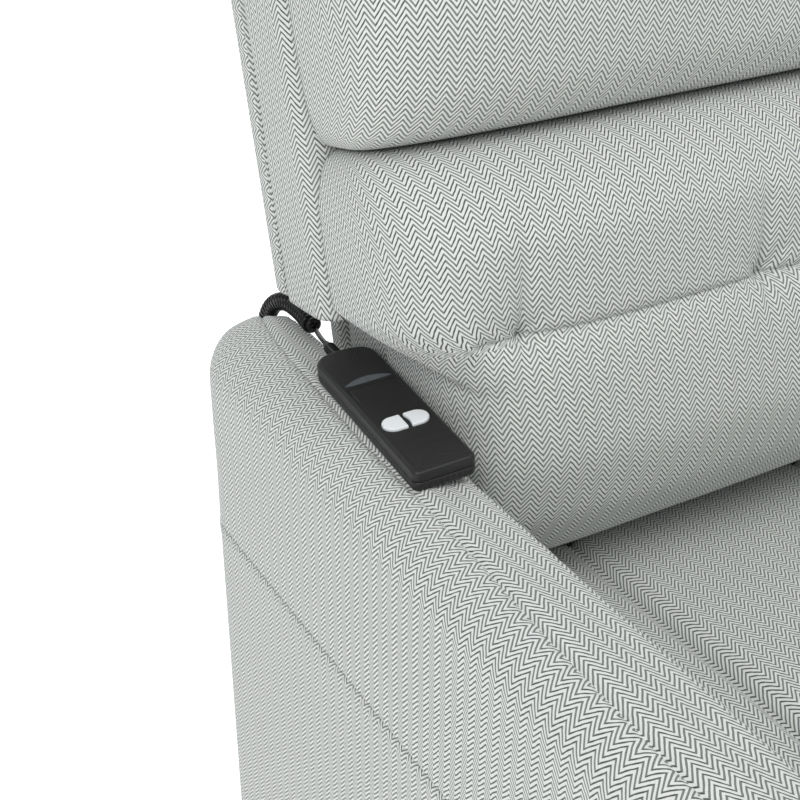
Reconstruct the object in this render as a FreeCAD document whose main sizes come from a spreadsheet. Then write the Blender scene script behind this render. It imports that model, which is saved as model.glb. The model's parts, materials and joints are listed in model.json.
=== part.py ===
import FreeCAD, Part
import Sketcher
import math
import os
import re

# Lift recliner chair. Millimetres, +Z up, the sitter faces -Y, origin on the floor below the middle.
# "left" is the side at -X and "right" the side at +X.

os.makedirs("parts", exist_ok=True)
doc = FreeCAD.newDocument("lift_recliner")
V = FreeCAD.Vector

SIDES = (("left", -1), ("right", 1))

# Driving dimensions
DIMENSIONS = [
    # alias, value, what it is
    ("seat_width", 514, "clear width between the arms"),
    ("arm_width", 86, "one upholstered arm, over the fabric"),
    ("arm_height", 642, "seams of the arm top above the floor"),
    ("arm_crown", 6, "rise of the arm top between its seams"),
    ("arm_front", 384, "front of the arms ahead of the origin"),
    ("arm_rear", 375, "rear of the arms behind the origin"),
    ("arm_gap", 45, "floor to the bottom of the arms"),
    ("arm_seam", 486, "height of the level seam on the outer side"),
    ("arm_skin", 8, "padding over the inner face of the arm"),
    ("arm_board", 18, "plywood panel inside the arm"),
    ("arm_corner", 58, "plan radius of the outer rear corner"),
    ("arm_roll", 35, "radius of the rear and front ends of the arm top"),
    ("arm_shoulder", 31, "radius of the outer shoulder"),
    ("side_skin", 12, "wall of the outer side panel"),
    ("seat_top", 503, "crown of the seat cushion"),
    ("soft_gap", 0.3, "gap between padding and what it lies against"),
    ("seat_front", 374, "front roll of the cushion ahead of the origin"),
    ("seat_rear", 160, "rear end of the cushion behind the origin"),
    ("seat_seam", 118, "sewn lines of the cushion, from the middle"),
    ("rail_thick", 25, "seat frame board thickness"),
    ("rail_deep", 65, "seat frame board height"),
    ("rail_bottom", 330, "underside of the seat frame"),
    ("web_wide", 50, "width of one elastic strap"),
    ("web_thick", 1.5, "thickness of one elastic strap"),
    ("plate_inner", 220, "inner face of the mechanism plate, from the middle"),
    ("plate_thick", 5, "mechanism plate"),
    ("link_thick", 4, "footrest links"),
    ("layer_gap", 1, "gap between two layers of links"),
    ("lift_thick", 6, "lift links"),
    ("lift_wide", 30, "width of the lift links"),
    ("crank_wide", 42, "width of the crank's cheeks"),
    ("link_wide", 24, "width of the footrest links"),
    ("pivot_radius", 6, "pins and studs of the links"),
    ("journal_radius", 8, "journals of the heavier pivots"),
    ("pin_fit", 0.05, "radial running clearance of a pivot"),
    ("open_fit", 1.3, "radial clearance of the opened lift pivot"),
    ("eye_fit", 3.2, "clearance of the opened actuator pivot, up and down"),
    ("loose_fit", 0.3, "radial clearance of the opened footrest pivots"),
    ("tube_radius", 12.7, "cross tubes"),
    ("torque_radius", 14, "torque tube of the front lift links"),
    ("tube_wall", 2, "wall of the cross tubes"),
    ("base_tube", 30, "height of the base frame tubes"),
    ("base_wide", 35, "width of the base frame tubes"),
    ("glide_high", 12, "floor glides"),
    ("glide_radius", 20, "floor glides"),
    ("base_front", 365, "front of the base frame ahead of the origin"),
    ("base_rear", 335, "rear of the base frame behind the origin"),
    ("back_lean", 13, "lean of the back at rest, degrees"),
    ("back_pivot_y", 215, "back pivot behind the origin"),
    ("back_pivot_z", 400, "back pivot above the floor"),
    ("back_high", 668, "top of the back frame above its pivot, along the back"),
    ("back_deep", 66, "depth of the back frame boards"),
    ("back_rail", 25, "thickness of the back frame boards"),
    ("back_cover", 20, "padded rear cover of the back"),
    ("back_half", 292, "half width of the back at its lower end"),
    ("back_flare", 6, "how much wider each side is at the top"),
    ("back_step", 302, "where the wide part of the back begins, along the back"),
    ("tuft_pitch", 203, "distance between the tufts"),
    ("stitch_level", 287, "level of the tufted seam, along the back"),
    ("crease_level", 415, "crease between the lumbar pad and the head pad"),
    ("lumbar_bulge", 208, "front of the lumbar pad ahead of the back's rear face"),
    ("head_bulge", 182, "front of the head pad ahead of the back's rear face"),
    ("foot_high", 310, "height of the footrest panel"),
    ("foot_bottom", 70, "floor to the footrest panel"),
    ("foot_board", 11, "footrest board"),
    ("foot_pad", 21, "footrest padding"),
    ("handset_long", 174, "handset, cord end to front"),
    ("handset_wide", 46, "handset width"),
    ("handset_high", 16, "handset thickness"),
    ("handset_split", 8, "height of the handset's lower shell"),
    ("handset_wall", 2.2, "wall of the handset shells"),
    ("handset_bevel", 2.6, "bevel round the handset's two faces"),
    ("handset_in", 12.2, "middle of the handset inboard of the crown of the arm"),
    ("handset_y", 152.7, "middle of the handset along the chair"),
    ("handset_gap", 0.5, "handset above the crown of the arm"),
    ("handset_turn", -4.7, "handset turned against the arm, degrees"),
    ("handset_roll", 4, "handset tipped towards the outer side, degrees"),
    ("circuit_low", 5.8, "underside of the circuit board above the handset's base"),
    ("button_long", 34.5, "the two buttons together, across the handset"),
    ("button_wide", 17, "the buttons along the handset"),
    ("button_place", 26.5, "buttons ahead of the middle of the handset"),
    ("button_gap", 2.2, "gap between the two buttons"),
    ("button_hollow", 1.6, "how far the inner edge of one button is hollowed"),
    ("button_foot", 10.4, "underside of the buttons above the handset's base"),
    ("button_fit", 0.4, "gap round each button"),
    ("button_rise", 1.2, "buttons above the handset's top"),
    ("boot_radius", 5, "ribs of the cord's strain relief"),
    ("boot_long", 27, "strain relief, ribs and sleeve together"),
    ("cord_wide", 3.8, "diameter of the handset cord"),
    ("curl_wide", 11.8, "outer diameter of the curls"),
    ("curl_count", 26, "curls in the cord"),
]

sheet = doc.addObject("Spreadsheet::Sheet", "Dimensions")
for row, (alias, value, note) in enumerate(DIMENSIONS, start=1):
    sheet.set(f"A{row}", note)
    sheet.set(f"B{row}", str(value))
    sheet.setAlias(f"B{row}", alias)
doc.recompute()
size = {alias: float(sheet.get(alias)) for alias, value, note in DIMENSIONS}

pieces = []


def ref(text):
    """Turn a sum of dimension names into an expression on the sheet's cells."""
    def cell(word):
        return f"Dimensions.{word.group()}" if word.group() in size else word.group()

    return re.sub(r"[a-z_]+", cell, text)


def bind(thing, **properties):
    """Tie properties to the sheet. A double underscore stands for a dot in the property's path."""
    for path, text in properties.items():
        thing.setExpression(path.replace("__", "."), ref(text))


def keep(thing, label):
    """Name a finished sub-part and list it for writing."""
    thing.Label = label
    pieces.append(thing)
    return thing


def place(thing, x="0", y="0", z="0"):
    bind(thing, Placement__Base__x=x, Placement__Base__y=y, Placement__Base__z=z)


def box(name, long, wide, high, x, y, z):
    """A block with its low corner at x, y, z, every value an expression."""
    thing = doc.addObject("Part::Box", name)
    bind(thing, Length=long, Width=wide, Height=high)
    place(thing, x, y, z)
    return thing


def cylinder_x(name, radius, long, x, y, z):
    """A cylinder along X that starts at x."""
    thing = doc.addObject("Part::Cylinder", name)
    thing.Placement = FreeCAD.Placement(V(), FreeCAD.Rotation(V(0, 1, 0), 90))
    bind(thing, Radius=radius, Height=long)
    place(thing, x, y, z)
    return thing


def fuse(name, *things):
    thing = doc.addObject("Part::MultiFuse", name)
    thing.Shapes = list(things)
    thing.Refine = True
    return thing


def cut(name, base, tool):
    thing = doc.addObject("Part::Cut", name)
    thing.Base = base
    thing.Tool = tool
    return thing


def group(name, *things):
    """Separate solids that share one sub-part."""
    thing = doc.addObject("Part::Compound", name)
    thing.Links = list(things)
    return thing


def tube_x(name, radius, half_long, y, z, wall="tube_wall"):
    """A round tube across the chair, even about the middle."""
    outer = cylinder_x(name + "_outer", radius, f"2 * ({half_long})", f"-({half_long})", y, z)
    bore = cylinder_x(name + "_bore", f"{radius} - {wall}", f"2 * ({half_long}) + 2",
                      f"-({half_long}) - 1", y, z)
    return cut(name, outer, bore)


def curves(points):
    """Sketch geometry through points. A point with a third value is the middle of an arc."""
    geometry = []
    ring = points + [points[0]]
    start = ring[0]
    middle = None
    for point in ring[1:]:
        if len(point) == 3:
            middle = point
            continue
        a = V(start[0], start[1], 0)
        b = V(point[0], point[1], 0)
        if middle is None:
            geometry.append(Part.LineSegment(a, b))
        else:
            geometry.append(Part.Arc(a, V(middle[0], middle[1], 0), b))
        middle = None
        start = point
    return geometry


def rounded_bar(a, b, radius):
    """Outline of a flat bar with round ends about its two centres."""
    turn = math.atan2(b[1] - a[1], b[0] - a[0])
    side = (-math.sin(turn) * radius, math.cos(turn) * radius)
    ahead = (math.cos(turn) * radius, math.sin(turn) * radius)
    return [(a[0] + side[0], a[1] + side[1]), (b[0] + side[0], b[1] + side[1]),
            (b[0] + ahead[0], b[1] + ahead[1], "arc"), (b[0] - side[0], b[1] - side[1]),
            (a[0] - side[0], a[1] - side[1]), (a[0] - ahead[0], a[1] - ahead[1], "arc")]


def new_body(name):
    return doc.addObject("PartDesign::Body", name)


def sketch_on(body, plane, outline=None):
    """A sketch on one of the body's own origin planes."""
    sketch = body.newObject("Sketcher::SketchObject", body.Name + "_sketch")
    origin = [f for f in body.Origin.OriginFeatures if f.Role == plane][0]
    sketch.AttachmentSupport = [(origin, "")]
    sketch.MapMode = "FlatFace"
    if outline:
        sketch.addGeometry(curves(outline), False)
    return sketch


def pad(body, sketch, long, back=False):
    feature = body.newObject("PartDesign::Pad", body.Name + "_pad")
    feature.Profile = sketch
    feature.Reversed = back
    bind(feature, Length=long)
    sketch.Visibility = False
    return feature


def pocket(body, sketch, deep=None, back=False):
    """Cut a sketch out of the body, right through it both ways when no depth is given."""
    feature = body.newObject("PartDesign::Pocket", body.Name + "_pocket")
    feature.Profile = sketch
    feature.Reversed = back
    if deep is None:
        feature.Type = "ThroughAll"
        feature.Midplane = True
    else:
        bind(feature, Length=deep)
    return feature


def bores(body, plane, holes):
    """Round holes right through the body. Each is (across, up, radius expression)."""
    doc.recompute()
    before = body.Shape.Volume
    sketch = sketch_on(body, plane)
    for across, up, radius in holes:
        number = sketch.addGeometry(Part.Circle(V(across, up, 0), V(0, 0, 1), 5), False)
        rule = sketch.addConstraint(radius_rule(number))
        sketch.setExpression(f"Constraints[{rule}]", ref(radius))
    pocket(body, sketch)
    doc.recompute()
    if body.Shape.Volume >= before:
        raise ValueError(f"{body.Name}: the bores cut nothing")


def radius_rule(number):
    return Sketcher.Constraint("Radius", number, 5.0)


def studs(body, sign, pins, inward):
    """Round studs riveted in a side plate. Each is (y, z, radius, length), measured from its inner face."""
    for across, up, radius, long in pins:
        sketch = sketch_on(body, "YZ_Plane")
        number = sketch.addGeometry(Part.Circle(V(across, up, 0), V(0, 0, 1), 5), False)
        rule = sketch.addConstraint(radius_rule(number))
        sketch.setExpression(f"Constraints[{rule}]", ref(radius))
        pad(body, sketch, long, back=(sign > 0) == inward)


def side_bar(name, sign, inner, thick, centres, wide, holes=(), outward=(), inward=()):
    """A flat steel link in one layer beside the seat, with its inner face at x = inner."""
    body = new_body(name)
    for a, b in zip(centres, centres[1:]):
        pad(body, sketch_on(body, "YZ_Plane", rounded_bar(a, b, size[wide] / 2)), thick, back=sign < 0)
    studs(body, sign, outward, inward=False)
    studs(body, sign, inward, inward=True)
    if holes:
        bores(body, "YZ_Plane", holes)
    place(body, x=f"{sign} * ({inner})")
    return body


def side_plate(name, sign, inner, thick, outline, holes=(), inward=(), corner=6):
    """A flat steel plate in one layer beside the seat, its corners rounded."""
    body = new_body(name)
    plate = pad(body, sketch_on(body, "YZ_Plane", outline), thick, back=sign < 0)
    doc.recompute()
    edges = [f"Edge{n}" for n, e in enumerate(plate.Shape.Edges, start=1)
             if abs(e.Vertexes[0].Point.x - e.Vertexes[-1].Point.x) > 1]
    fillet = body.newObject("PartDesign::Fillet", name + "_corners")
    fillet.Base = (plate, edges)
    fillet.Radius = corner
    studs(body, sign, inward, inward=True)
    bores(body, "YZ_Plane", holes)
    place(body, x=f"{sign} * ({inner})")
    return body


def prism(name, plane, outline, long, back=False):
    body = new_body(name)
    pad(body, sketch_on(body, plane, outline), long, back)
    return body


def polar(centre, radius, degrees):
    return (centre[0] + radius * math.cos(math.radians(degrees)),
            centre[1] + radius * math.sin(math.radians(degrees)))


def toward(a, b, distance):
    """The point on the line from a to b at a distance from a."""
    long = math.dist(a, b)
    return (a[0] + (b[0] - a[0]) * distance / long, a[1] + (b[1] - a[1]) * distance / long)


# Pivots of the linkages, each as (y, z) at rest
LIFT_FRONT_BASE = (-340, 128)
LIFT_REAR_BASE = (-250, 157)
LIFT_FRONT_TOP = (-131, 90)
LIFT_REAR_TOP = (137, 123)
LIFT_FRONT_TORQUE = toward(LIFT_FRONT_BASE, LIFT_FRONT_TOP, 60)
LIFT_REAR_TORQUE = toward(LIFT_REAR_BASE, LIFT_REAR_TOP, 150)
CRANK_LONG = 110
CRANK_ANGLE = 72
CRANK_PIN = polar(LIFT_FRONT_TOP, CRANK_LONG, CRANK_ANGLE)

FOOT_FRONT_PIVOT = (-318, 318)
FOOT_REAR_PIVOT = (-250, 293)
FOOT_LINK_ANGLE = -78
FOOT_CROSS = polar(FOOT_FRONT_PIVOT, 190, FOOT_LINK_ANGLE)
FOOT_LINK_END = polar(FOOT_FRONT_PIVOT, 250, FOOT_LINK_ANGLE)
FOOT_REAR_END = (FOOT_CROSS[0] + FOOT_REAR_PIVOT[0] - FOOT_FRONT_PIVOT[0],
                 FOOT_CROSS[1] + FOOT_REAR_PIVOT[1] - FOOT_FRONT_PIVOT[1])
FOOT_RISE = (-60, 80)
FOOT_BRACKET_TOP = (FOOT_CROSS[0] + FOOT_RISE[0], FOOT_CROSS[1] + FOOT_RISE[1])
FOOT_BRACKET_LOW = (FOOT_LINK_END[0] + FOOT_RISE[0], FOOT_LINK_END[1] + FOOT_RISE[1])

# Layers of links beside the seat, each the inner face measured from the middle
LAYER_TOWER = "plate_inner - 2 * layer_gap - lift_thick - plate_thick"
LAYER_LIFT = "plate_inner - layer_gap - lift_thick"
LAYER_REAR = "plate_inner - 3 * layer_gap - 2 * lift_thick - plate_thick"
LAYER_FOOT = "plate_inner + plate_thick + layer_gap"
LAYER_CROSS = "plate_inner + plate_thick + link_thick + 2 * layer_gap"
LAYER_BRACKET = "plate_inner + plate_thick + 2 * link_thick + 3 * layer_gap"

# Height of the actuator's middle line and of the cross tube that holds its rear end
ACTUATOR_AXIS = 197.3
REAR_TUBE_Y = 290
GEARBOX_PIN_Y = 252


def build_base():
    """Welded floor frame on glides, the two towers that carry the lift links, and the power supply."""
    def floor_tube(name, long, wide, x, y, along_x):
        outer = box(name + "_outer", long, wide, "base_tube", x, y, "glide_high")
        if along_x:
            bore = box(name + "_bore", f"{long} + 2", f"{wide} - 2 * tube_wall", "base_tube - 2 * tube_wall",
                       f"{x} - 1", f"{y} + tube_wall", "glide_high + tube_wall")
        else:
            bore = box(name + "_bore", f"{long} - 2 * tube_wall", f"{wide} + 2", "base_tube - 2 * tube_wall",
                       f"{x} + tube_wall", f"{y} - 1", "glide_high + tube_wall")
        return cut(name, outer, bore)

    tower_in = LAYER_TOWER
    members = []
    for side, sign in SIDES:
        x = f"{tower_in} - base_wide" if sign > 0 else f"-({tower_in})"
        members.append(floor_tube(f"base_rail_{side}", "base_wide", "base_front + base_rear", x,
                                  "-base_front", False))
    for end, y in (("front", "-base_front"), ("rear", "base_rear - base_tube")):
        members.append(floor_tube(f"base_cross_{end}", f"2 * ({tower_in} - base_wide)", "base_tube",
                                  f"-({tower_in} - base_wide)", y, True))
    keep(fuse("base_welded", *members), "base_frame")

    foot = size["glide_high"]
    tower = [(-354, foot), (-205, foot), (-228, 140), (-238, 172), (-262, 172), (-262, 98), (-302, 98),
             (-322, 144), (-346, 144), (-354, 132)]
    for side, sign in SIDES:
        keep(side_plate(f"tower_{side}", sign, tower_in, "plate_thick", tower,
                        [(*LIFT_FRONT_BASE, "pivot_radius + pin_fit"),
                         (*LIFT_REAR_BASE, "pivot_radius + pin_fit")]), f"base_tower_{side}")

    inset = 25
    glides = []
    for side, sign in SIDES:
        for end, y in (("front", f"-base_front + {inset}"), ("rear", f"base_rear - {inset}")):
            body = new_body(f"glide_{end}_{side}")
            r = size["glide_radius"]
            h = size["glide_high"]
            sketch = sketch_on(body, "XZ_Plane", [(0, 0), (r - 3, 0), (r, 3), (r, h), (0, h)])
            turned = body.newObject("PartDesign::Revolution", body.Name + "_turned")
            turned.Profile = sketch
            turned.ReferenceAxis = (sketch, ["V_Axis"])
            turned.Angle = 360
            place(body, f"{sign} * ({tower_in} - base_wide / 2)", y)
            glides.append(body)
    keep(group("glides", *glides), "base_glides")

    pins = []
    shank_long = "plate_thick + layer_gap + lift_thick"
    for side, sign in SIDES:
        for end, pivot, inner in (("front", LIFT_FRONT_BASE, tower_in), ("rear", LIFT_REAR_BASE, LAYER_REAR)):
            where = (str(pivot[0]), str(pivot[1]))
            head = cylinder_x(f"pin_head_{end}_{side}", "pivot_radius + 4", "4",
                              f"{inner} - 4" if sign > 0 else f"-({inner})", *where)
            shank = cylinder_x(f"pin_shank_{end}_{side}", "pivot_radius", shank_long,
                               inner if sign > 0 else f"-({inner}) - ({shank_long})", *where)
            pins.append(fuse(f"pin_{end}_{side}", head, shank))
    keep(group("pins", *pins), "base_pivot_pins")

    case = new_body("supply_case")
    wide, long, high = 62, 170, 48
    shell = pad(case, sketch_on(case, "XY_Plane", [(0, 0), (wide, 0), (wide, long), (0, long)]), str(high))
    doc.recompute()
    edges = [f"Edge{n}" for n, e in enumerate(shell.Shape.Edges, start=1)
             if e.BoundBox.XMax < wide - 1 or e.BoundBox.ZMin > high - 1]
    fillet = case.newObject("PartDesign::Fillet", "supply_rounding")
    fillet.Base = (shell, edges)
    fillet.Radius = 6
    inlet = sketch_on(case, "XZ_Plane", [(20, 18), (42, 18), (42, 30), (20, 30)])
    doc.recompute()
    before = case.Shape.Volume
    socket = pocket(case, inlet, "12", back=True)
    inlet.AttachmentOffset = FreeCAD.Placement(V(0, 0, -long), FreeCAD.Rotation())
    socket.Reversed = False
    doc.recompute()
    if case.Shape.Volume >= before - 1000:
        socket.Reversed = True
        doc.recompute()
    if case.Shape.Volume >= before - 1000:
        raise ValueError("the mains inlet cuts nothing")
    place(case, f"{tower_in} - base_wide - {wide}", "110", "glide_high + 2")
    keep(case, "power_supply")


def build_lift_links():
    """Four flat links, each pair joined by a torque tube, and the crank that the motor pushes."""
    for side, sign in SIDES:
        keep(side_bar(f"front_link_{side}", sign, LAYER_LIFT, "lift_thick", [LIFT_FRONT_BASE, LIFT_FRONT_TOP],
                      "lift_wide", [(*LIFT_FRONT_BASE, "pivot_radius + pin_fit")],
                      [(*LIFT_FRONT_TOP, "journal_radius", "lift_thick + layer_gap + plate_thick")]),
             f"lift_front_link_{side}")
        keep(side_bar(f"rear_link_{side}", sign, LAYER_REAR, "lift_thick", [LIFT_REAR_BASE, LIFT_REAR_TOP],
                      "lift_wide", [(*LIFT_REAR_BASE, "pivot_radius + pin_fit"),
                                    (*LIFT_REAR_TOP, "journal_radius + open_fit")]),
             f"lift_rear_link_{side}")
    keep(tube_x("front_torque", "torque_radius", LAYER_LIFT, *[str(c) for c in LIFT_FRONT_TORQUE]),
         "lift_front_tube")
    keep(tube_x("rear_torque", "tube_radius", LAYER_REAR, *[str(c) for c in LIFT_REAR_TORQUE]),
         "lift_rear_tube")

    cheeks = [side_bar(f"crank_{side}", sign, "12", "plate_thick", [LIFT_FRONT_TORQUE, CRANK_PIN],
                       "crank_wide", [(*LIFT_FRONT_TORQUE, "torque_radius + pin_fit")])
              for side, sign in SIDES]
    pin = cylinder_x("crank_pin", "pivot_radius", "2 * (12 + plate_thick)", "-12 - plate_thick",
                     str(CRANK_PIN[0]), str(CRANK_PIN[1]))
    keep(fuse("crank", *cheeks, pin), "lift_crank")


def build_mechanism():
    """Side plates and cross tubes of the part that is lifted."""
    outline = [(-342, 296), (-342, 378), (-328, 394), (188, 394), (192, 412), (203, 425), (227, 425),
               (238, 412), (244, 360), (312, 214), (312, 176), (300, 168), (272, 168), (214, 262), (165, 268),
               (158, 112), (148, 102), (126, 102), (116, 112), (108, 270), (-96, 270), (-108, 80), (-120, 68),
               (-143, 68), (-155, 80), (-166, 264), (-268, 264), (-300, 296)]
    for side, sign in SIDES:
        keep(side_plate(f"plate_{side}", sign, "plate_inner", "plate_thick", outline,
                        [(*LIFT_FRONT_TOP, "journal_radius + pin_fit"),
                         (*FOOT_FRONT_PIVOT, "pivot_radius + pin_fit"),
                         (*FOOT_REAR_PIVOT, "pivot_radius + pin_fit"),
                         (size["back_pivot_y"], size["back_pivot_z"], "journal_radius + pin_fit")],
                        [(*LIFT_REAR_TOP, "journal_radius",
                          "3 * layer_gap + 2 * lift_thick + plate_thick")]),
             f"mechanism_plate_{side}")
    keep(tube_x("front_cross", "tube_radius", "plate_inner", "-60", "292"), "carriage_front_tube")
    axis = ACTUATOR_AXIS
    tube = tube_x("rear_cross", "tube_radius", "plate_inner", str(REAR_TUBE_Y), str(axis))
    ears = []
    for side, sign in SIDES:
        ear = side_bar(f"ear_{side}", sign, "18", "plate_thick",
                       [(REAR_TUBE_Y - 14, axis), (GEARBOX_PIN_Y, axis)], "link_wide",
                       [(GEARBOX_PIN_Y, axis, "pivot_radius + pin_fit")])
        ears.append(ear)
    outer = cylinder_x("rear_cross_core", "tube_radius - tube_wall / 2", "2 * plate_inner + 2",
                       "-plate_inner - 1", str(REAR_TUBE_Y), str(axis))
    trimmed = [cut(f"{ear.Name}_trimmed", ear, outer) for ear in ears]
    keep(fuse("rear_cross_welded", tube, *trimmed), "carriage_rear_tube")


def build_actuator():
    """Linear motor: gearbox and motor can under the seat, outer tube, and the rod that pushes the crank."""
    axis = ACTUATOR_AXIS
    block = new_body("gearbox_block")
    half = 17.5
    arch = [(-half, axis - 24), (half, axis - 24), (half, axis + 10), (0, axis + 24, "arc"), (-half, axis + 10)]
    pad(block, sketch_on(block, "XZ_Plane", arch), "56", back=True)
    place(block, y="186")
    doc.recompute()
    tail = box("gearbox_tail", "32", "20", "20", "-16", "242", f"{axis} - 10")
    pin = cylinder_x("gearbox_pin", "pivot_radius", "50", "-25", str(GEARBOX_PIN_Y), str(axis))
    keep(fuse("gearbox", block, tail, pin), "actuator_gearbox")

    can = new_body("motor_can")
    profile = [(0, -17.5), (14, -17.5), (14, -24), (29, -24), (31, -26), (31, -118), (28, -123), (0, -125)]
    sketch = sketch_on(can, "XZ_Plane", [(b, a) for a, b in profile])
    turned = can.newObject("PartDesign::Revolution", "motor_turned")
    turned.Profile = sketch
    turned.ReferenceAxis = (sketch, ["H_Axis"])
    turned.Angle = 360
    place(can, y=f"{GEARBOX_PIN_Y} - pivot_radius - 30", z=str(axis))
    keep(can, "actuator_motor")

    tube = new_body("outer_tube")
    ring = sketch_on(tube, "XZ_Plane")
    for radius in (16, 12.5):
        ring.addGeometry(Part.Circle(V(0, axis, 0), V(0, 0, 1), radius), False)
    pad(tube, ring, "206", back=True)
    collar = sketch_on(tube, "XZ_Plane")
    for radius in (19, 10 + size["pin_fit"]):
        collar.addGeometry(Part.Circle(V(0, axis, 0), V(0, 0, 1), radius), False)
    pad(tube, collar, "14", back=False)
    place(tube, y="-20")
    keep(tube, "actuator_tube")

    rod = new_body("rod")
    shaft = sketch_on(rod, "XZ_Plane")
    shaft.addGeometry(Part.Circle(V(0, axis, 0), V(0, 0, 1), 10), False)
    pad(rod, shaft, "220", back=True)
    wide, tall = 11.5, 16
    eye = sketch_on(rod, "XZ_Plane", [(-wide, axis - tall), (wide, axis - tall), (wide, axis + tall),
                                      (-wide, axis + tall)])
    pad(rod, eye, "30", back=False)
    side_play = 0.6
    radius = size["pivot_radius"] + side_play
    middle = CRANK_PIN[1] + 2.7
    low = middle - size["eye_fit"] + side_play
    high = middle + size["eye_fit"] - side_play
    place(rod, y=str(round(CRANK_PIN[0] + 15, 3)))
    doc.recompute()
    before = rod.Shape.Volume
    at = -15
    slot = sketch_on(rod, "YZ_Plane", [(at - radius, low), (at - radius, high), (at, high + radius, "arc"),
                                       (at + radius, high), (at + radius, low), (at, low - radius, "arc")])
    pocket(rod, slot)
    doc.recompute()
    if rod.Shape.Volume >= before:
        raise ValueError("the rod's eye cuts nothing")
    keep(rod, "actuator_rod")


def build_seat():
    """Wooden seat frame, elastic webbing and the seat cushion with its front roll and two sewn lines."""
    rails = []
    for side, sign in SIDES:
        x = "plate_inner - rail_thick" if sign > 0 else "-plate_inner"
        rails.append(box(f"seat_rail_{side}", "rail_thick", "515", "rail_deep", x, "-340", "rail_bottom"))
    for end, y in (("front", "-340"), ("rear", "175 - rail_thick")):
        rails.append(box(f"seat_rail_{end}", "2 * (plate_inner - rail_thick)", "rail_thick", "rail_deep",
                         "-plate_inner + rail_thick", y, "rail_bottom"))
    keep(fuse("seat_box", *rails), "seat_frame")

    straps = []
    top = "rail_bottom + rail_deep"
    for n in range(5):
        straps.append(box(f"strap_across_{n}", "2 * plate_inner", "web_wide", "web_thick", "-plate_inner",
                          f"{-300 + n * 98}", top))
    for n in range(4):
        straps.append(box(f"strap_along_{n}", "web_wide", "515", "web_thick",
                          f"{-185 + n * 106.7} - web_wide / 2 + 25", "-340", f"{top} + web_thick"))
    keep(group("webbing", *straps), "seat_webbing")

    half = size["seat_width"] / 2 - 3
    base = size["rail_bottom"] + size["rail_deep"] + 2 * size["web_thick"] + size["soft_gap"]
    front = size["seat_front"]
    rear = size["seat_rear"]
    crown = size["seat_top"]
    seam = size["seat_seam"]
    # across, drop of the top, inset of the front roll
    stations = [(-half, 30, 12), (-half + 12, 15, 4), (-(half + seam) / 2, 3, 0), (-seam, 8, 3), (0, 0, 0),
                (seam, 8, 3), ((half + seam) / 2, 3, 0), (half - 12, 15, 4), (half, 30, 12)]
    wires = []
    for x, drop, inset in stations:
        top = crown - drop
        nose = -front + inset
        corners = [(rear - 4, base), (nose + 26, base), (nose, base + 44, "arc"),
                   (nose + 24, top - 16), ((nose + rear) / 2, top, "arc"), (rear - 24, top - 9),
                   (rear, top - 34, "arc"), (rear, base + 20)]
        wires.append(section(corners, lambda a, b, x=x: V(x, a, b)))
    loft("cushion_form", wires, "seat_cushion")


def section(corners, at):
    """A closed outline of one level of a padded form, set in space by a function of its two coordinates."""
    ring = [at(*corner[:2]) for corner in corners]
    return Part.makePolygon(ring + [ring[0]])


def loft(name, wires, label, placement=None):
    thing = doc.addObject("Part::Feature", name)
    thing.Shape = Part.makeLoft(wires, True, True)
    if placement:
        thing.Placement = placement
    return keep(thing, label)


def arm_outline(inner, outer, inset=0):
    """Plan of an arm on the right: inner face, rounded front and the wide radius at the rear corner."""
    front = -size["arm_front"] + inset
    rear = size["arm_rear"] - inset
    big = size["arm_corner"] - inset
    small = 22 - inset
    k = 1 - math.sqrt(0.5)
    x = outer - inset
    return [(inner, front), (x - small, front), (x - k * small, front + k * small, "arc"), (x, front + small),
            (x, rear - big), (x - k * big, rear - k * big, "arc"), (x - big, rear), (inner, rear)]


def mirrored(points, sign):
    """Outline with its first coordinate turned to the side asked for."""
    return [(p[0] * sign, *p[1:]) for p in points]


# Radius of the arm top along its inner seam, and the inner face of the rear panel between the arms
ARM_EDGE = 9
REAR_COVER_Y = 352


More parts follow.
